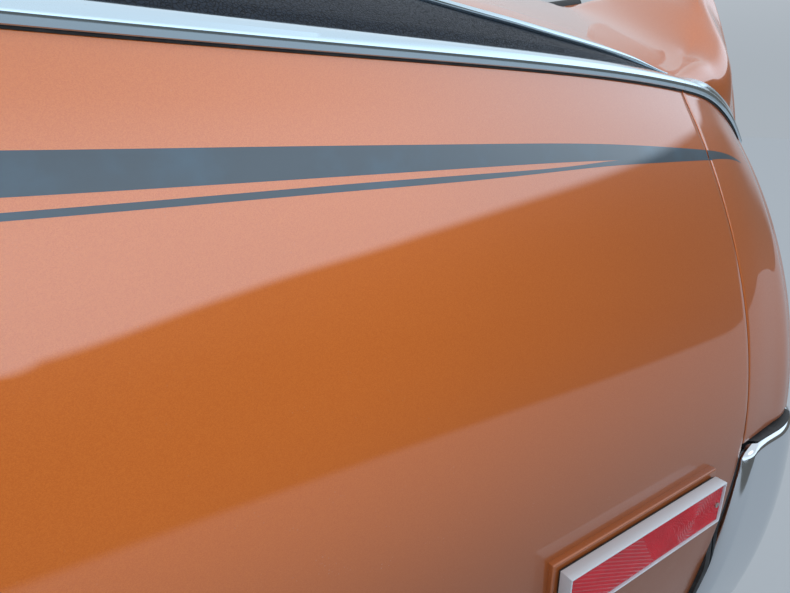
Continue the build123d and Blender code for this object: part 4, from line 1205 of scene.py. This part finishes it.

# %% [markdown]
# Floor and light.
# A pale floor lies at the height of the road. The light is a soft tent, plain and pale
# behind the object. On the side that faces the camera the floor is painted dark beyond a long
# soft edge, a painted shade where the light falls off; a darker band stands on the horizon,
# taller towards the rear, and above it the tent is bright. So the glossy side mirrors pale floor,
# painted floor shade, darker band and bright tent, one above the other, and its curves can be read.

# %% Floor
FLOOR_Z, FLOOR_R = -0.560, 13
FLOOR_PALE, FLOOR_PAINTED_SHADE = (0.44, 0.455, 0.47, 1), (0.140, 0.132, 0.120, 1)
EDGE_SLANT, EDGE_NEAR, EDGE_FAR = 0.11, -1.66, -1.80


def make_floor_with_painted_shade():
    """Pale round the object, with painted shade beyond the long soft edge along its side, where the light
    falls off.
    """
    material, tree, shader = new_material("pale_floor_painted_shade", Roughness=0.9, Specular_IOR_Level=0.0)
    place = add(tree, "SeparateXYZ", {0: object_place(tree)}).outputs
    beside = calc(tree, "MULTIPLY_ADD", place["X"], EDGE_SLANT, place["Y"])
    # Painted shade on the floor beyond the soft edge.
    colour = mix(tree, ramp(tree, beside, EDGE_NEAR, EDGE_FAR), FLOOR_PALE, FLOOR_PAINTED_SHADE)
    set_inputs(tree, shader, {"Base Color": colour})
    return material


clear_selection()
bpy.ops.mesh.primitive_circle_add(vertices=96, radius=FLOOR_R, fill_type="NGON", location=(0, 0, FLOOR_Z))
floor = bpy.context.object
floor.name = "floor"
bpy.ops.object.transform_apply(location=True, rotation=True, scale=True)
floor.data.materials.append(make_floor_with_painted_shade())
print("floor radius", FLOOR_R)

# %% Light tent
BAND_TOP = {0.10: -0.060, 0.40: 0.080, 0.66: 0.145, 0.96: 0.300}    # height by heading, to the rear
BAND_GREY, TENT_LIGHT = (0.15, 0.145, 0.135, 1), (1.34, 1.58, 1.82, 1)
TOP_LIGHT, BACKDROP = (0.88, 0.95, 1.02, 1), (0.40, 0.445, 0.49, 1)
RAISE = 0.1     # keeps the band's heights above 0 while they are held as greys

world = bpy.data.worlds.new("light_tent")
bpy.context.scene.world = world
world.use_nodes = True
sky = world.node_tree
heading = add(sky, "SeparateXYZ", {0: add(sky, "TexCoord").outputs["Generated"]}).outputs
band = add(sky, "ValToRGB", {"Fac": heading["X"]})
band.color_ramp.interpolation = "B_SPLINE"
stops = band.color_ramp.elements
while len(stops) < len(BAND_TOP):
    stops.new(0.5)
for stop, (rearward, top) in zip(stops, BAND_TOP.items()):
    stop.position = rearward
    stop.color = (top + RAISE, top + RAISE, top + RAISE, 1)
band_top = calc(sky, "SUBTRACT", band.outputs["Color"], RAISE)
above = calc(sky, "SUBTRACT", heading["Z"], band_top)
tent = mix(sky, ramp(sky, above, 0.20, 0.62), TENT_LIGHT, TOP_LIGHT)
outboard = mix(sky, ramp(sky, above, -0.012, 0.016), BAND_GREY, tent)
inboard = mix(sky, ramp(sky, heading["Z"], 0.0, 0.55), BACKDROP, TOP_LIGHT)
around = mix(sky, ramp(sky, heading["Y"], 0.0, 0.22), outboard, inboard)
sky.links.new(around, sky.nodes["Background"].inputs["Color"])
print("sky nodes:", len(sky.nodes))

# %% Soft key light
KEY_AT, KEY_AIM = (-0.6, -2.2, 2.6), Vector((0.4, -0.2, 0.1))
clear_selection()
bpy.ops.object.light_add(type="AREA", location=KEY_AT)
key = bpy.context.object
key.name = "soft_key"
key.data.shape, key.data.size, key.data.size_y, key.data.energy = "ELLIPSE", 2.4, 1.6, 8.0
key.rotation_euler = (KEY_AIM - key.location).to_track_quat("-Z", "Y").to_euler()
print("key light power", key.data.energy, "W")

bpy.context.scene.view_settings.view_transform = "Standard"
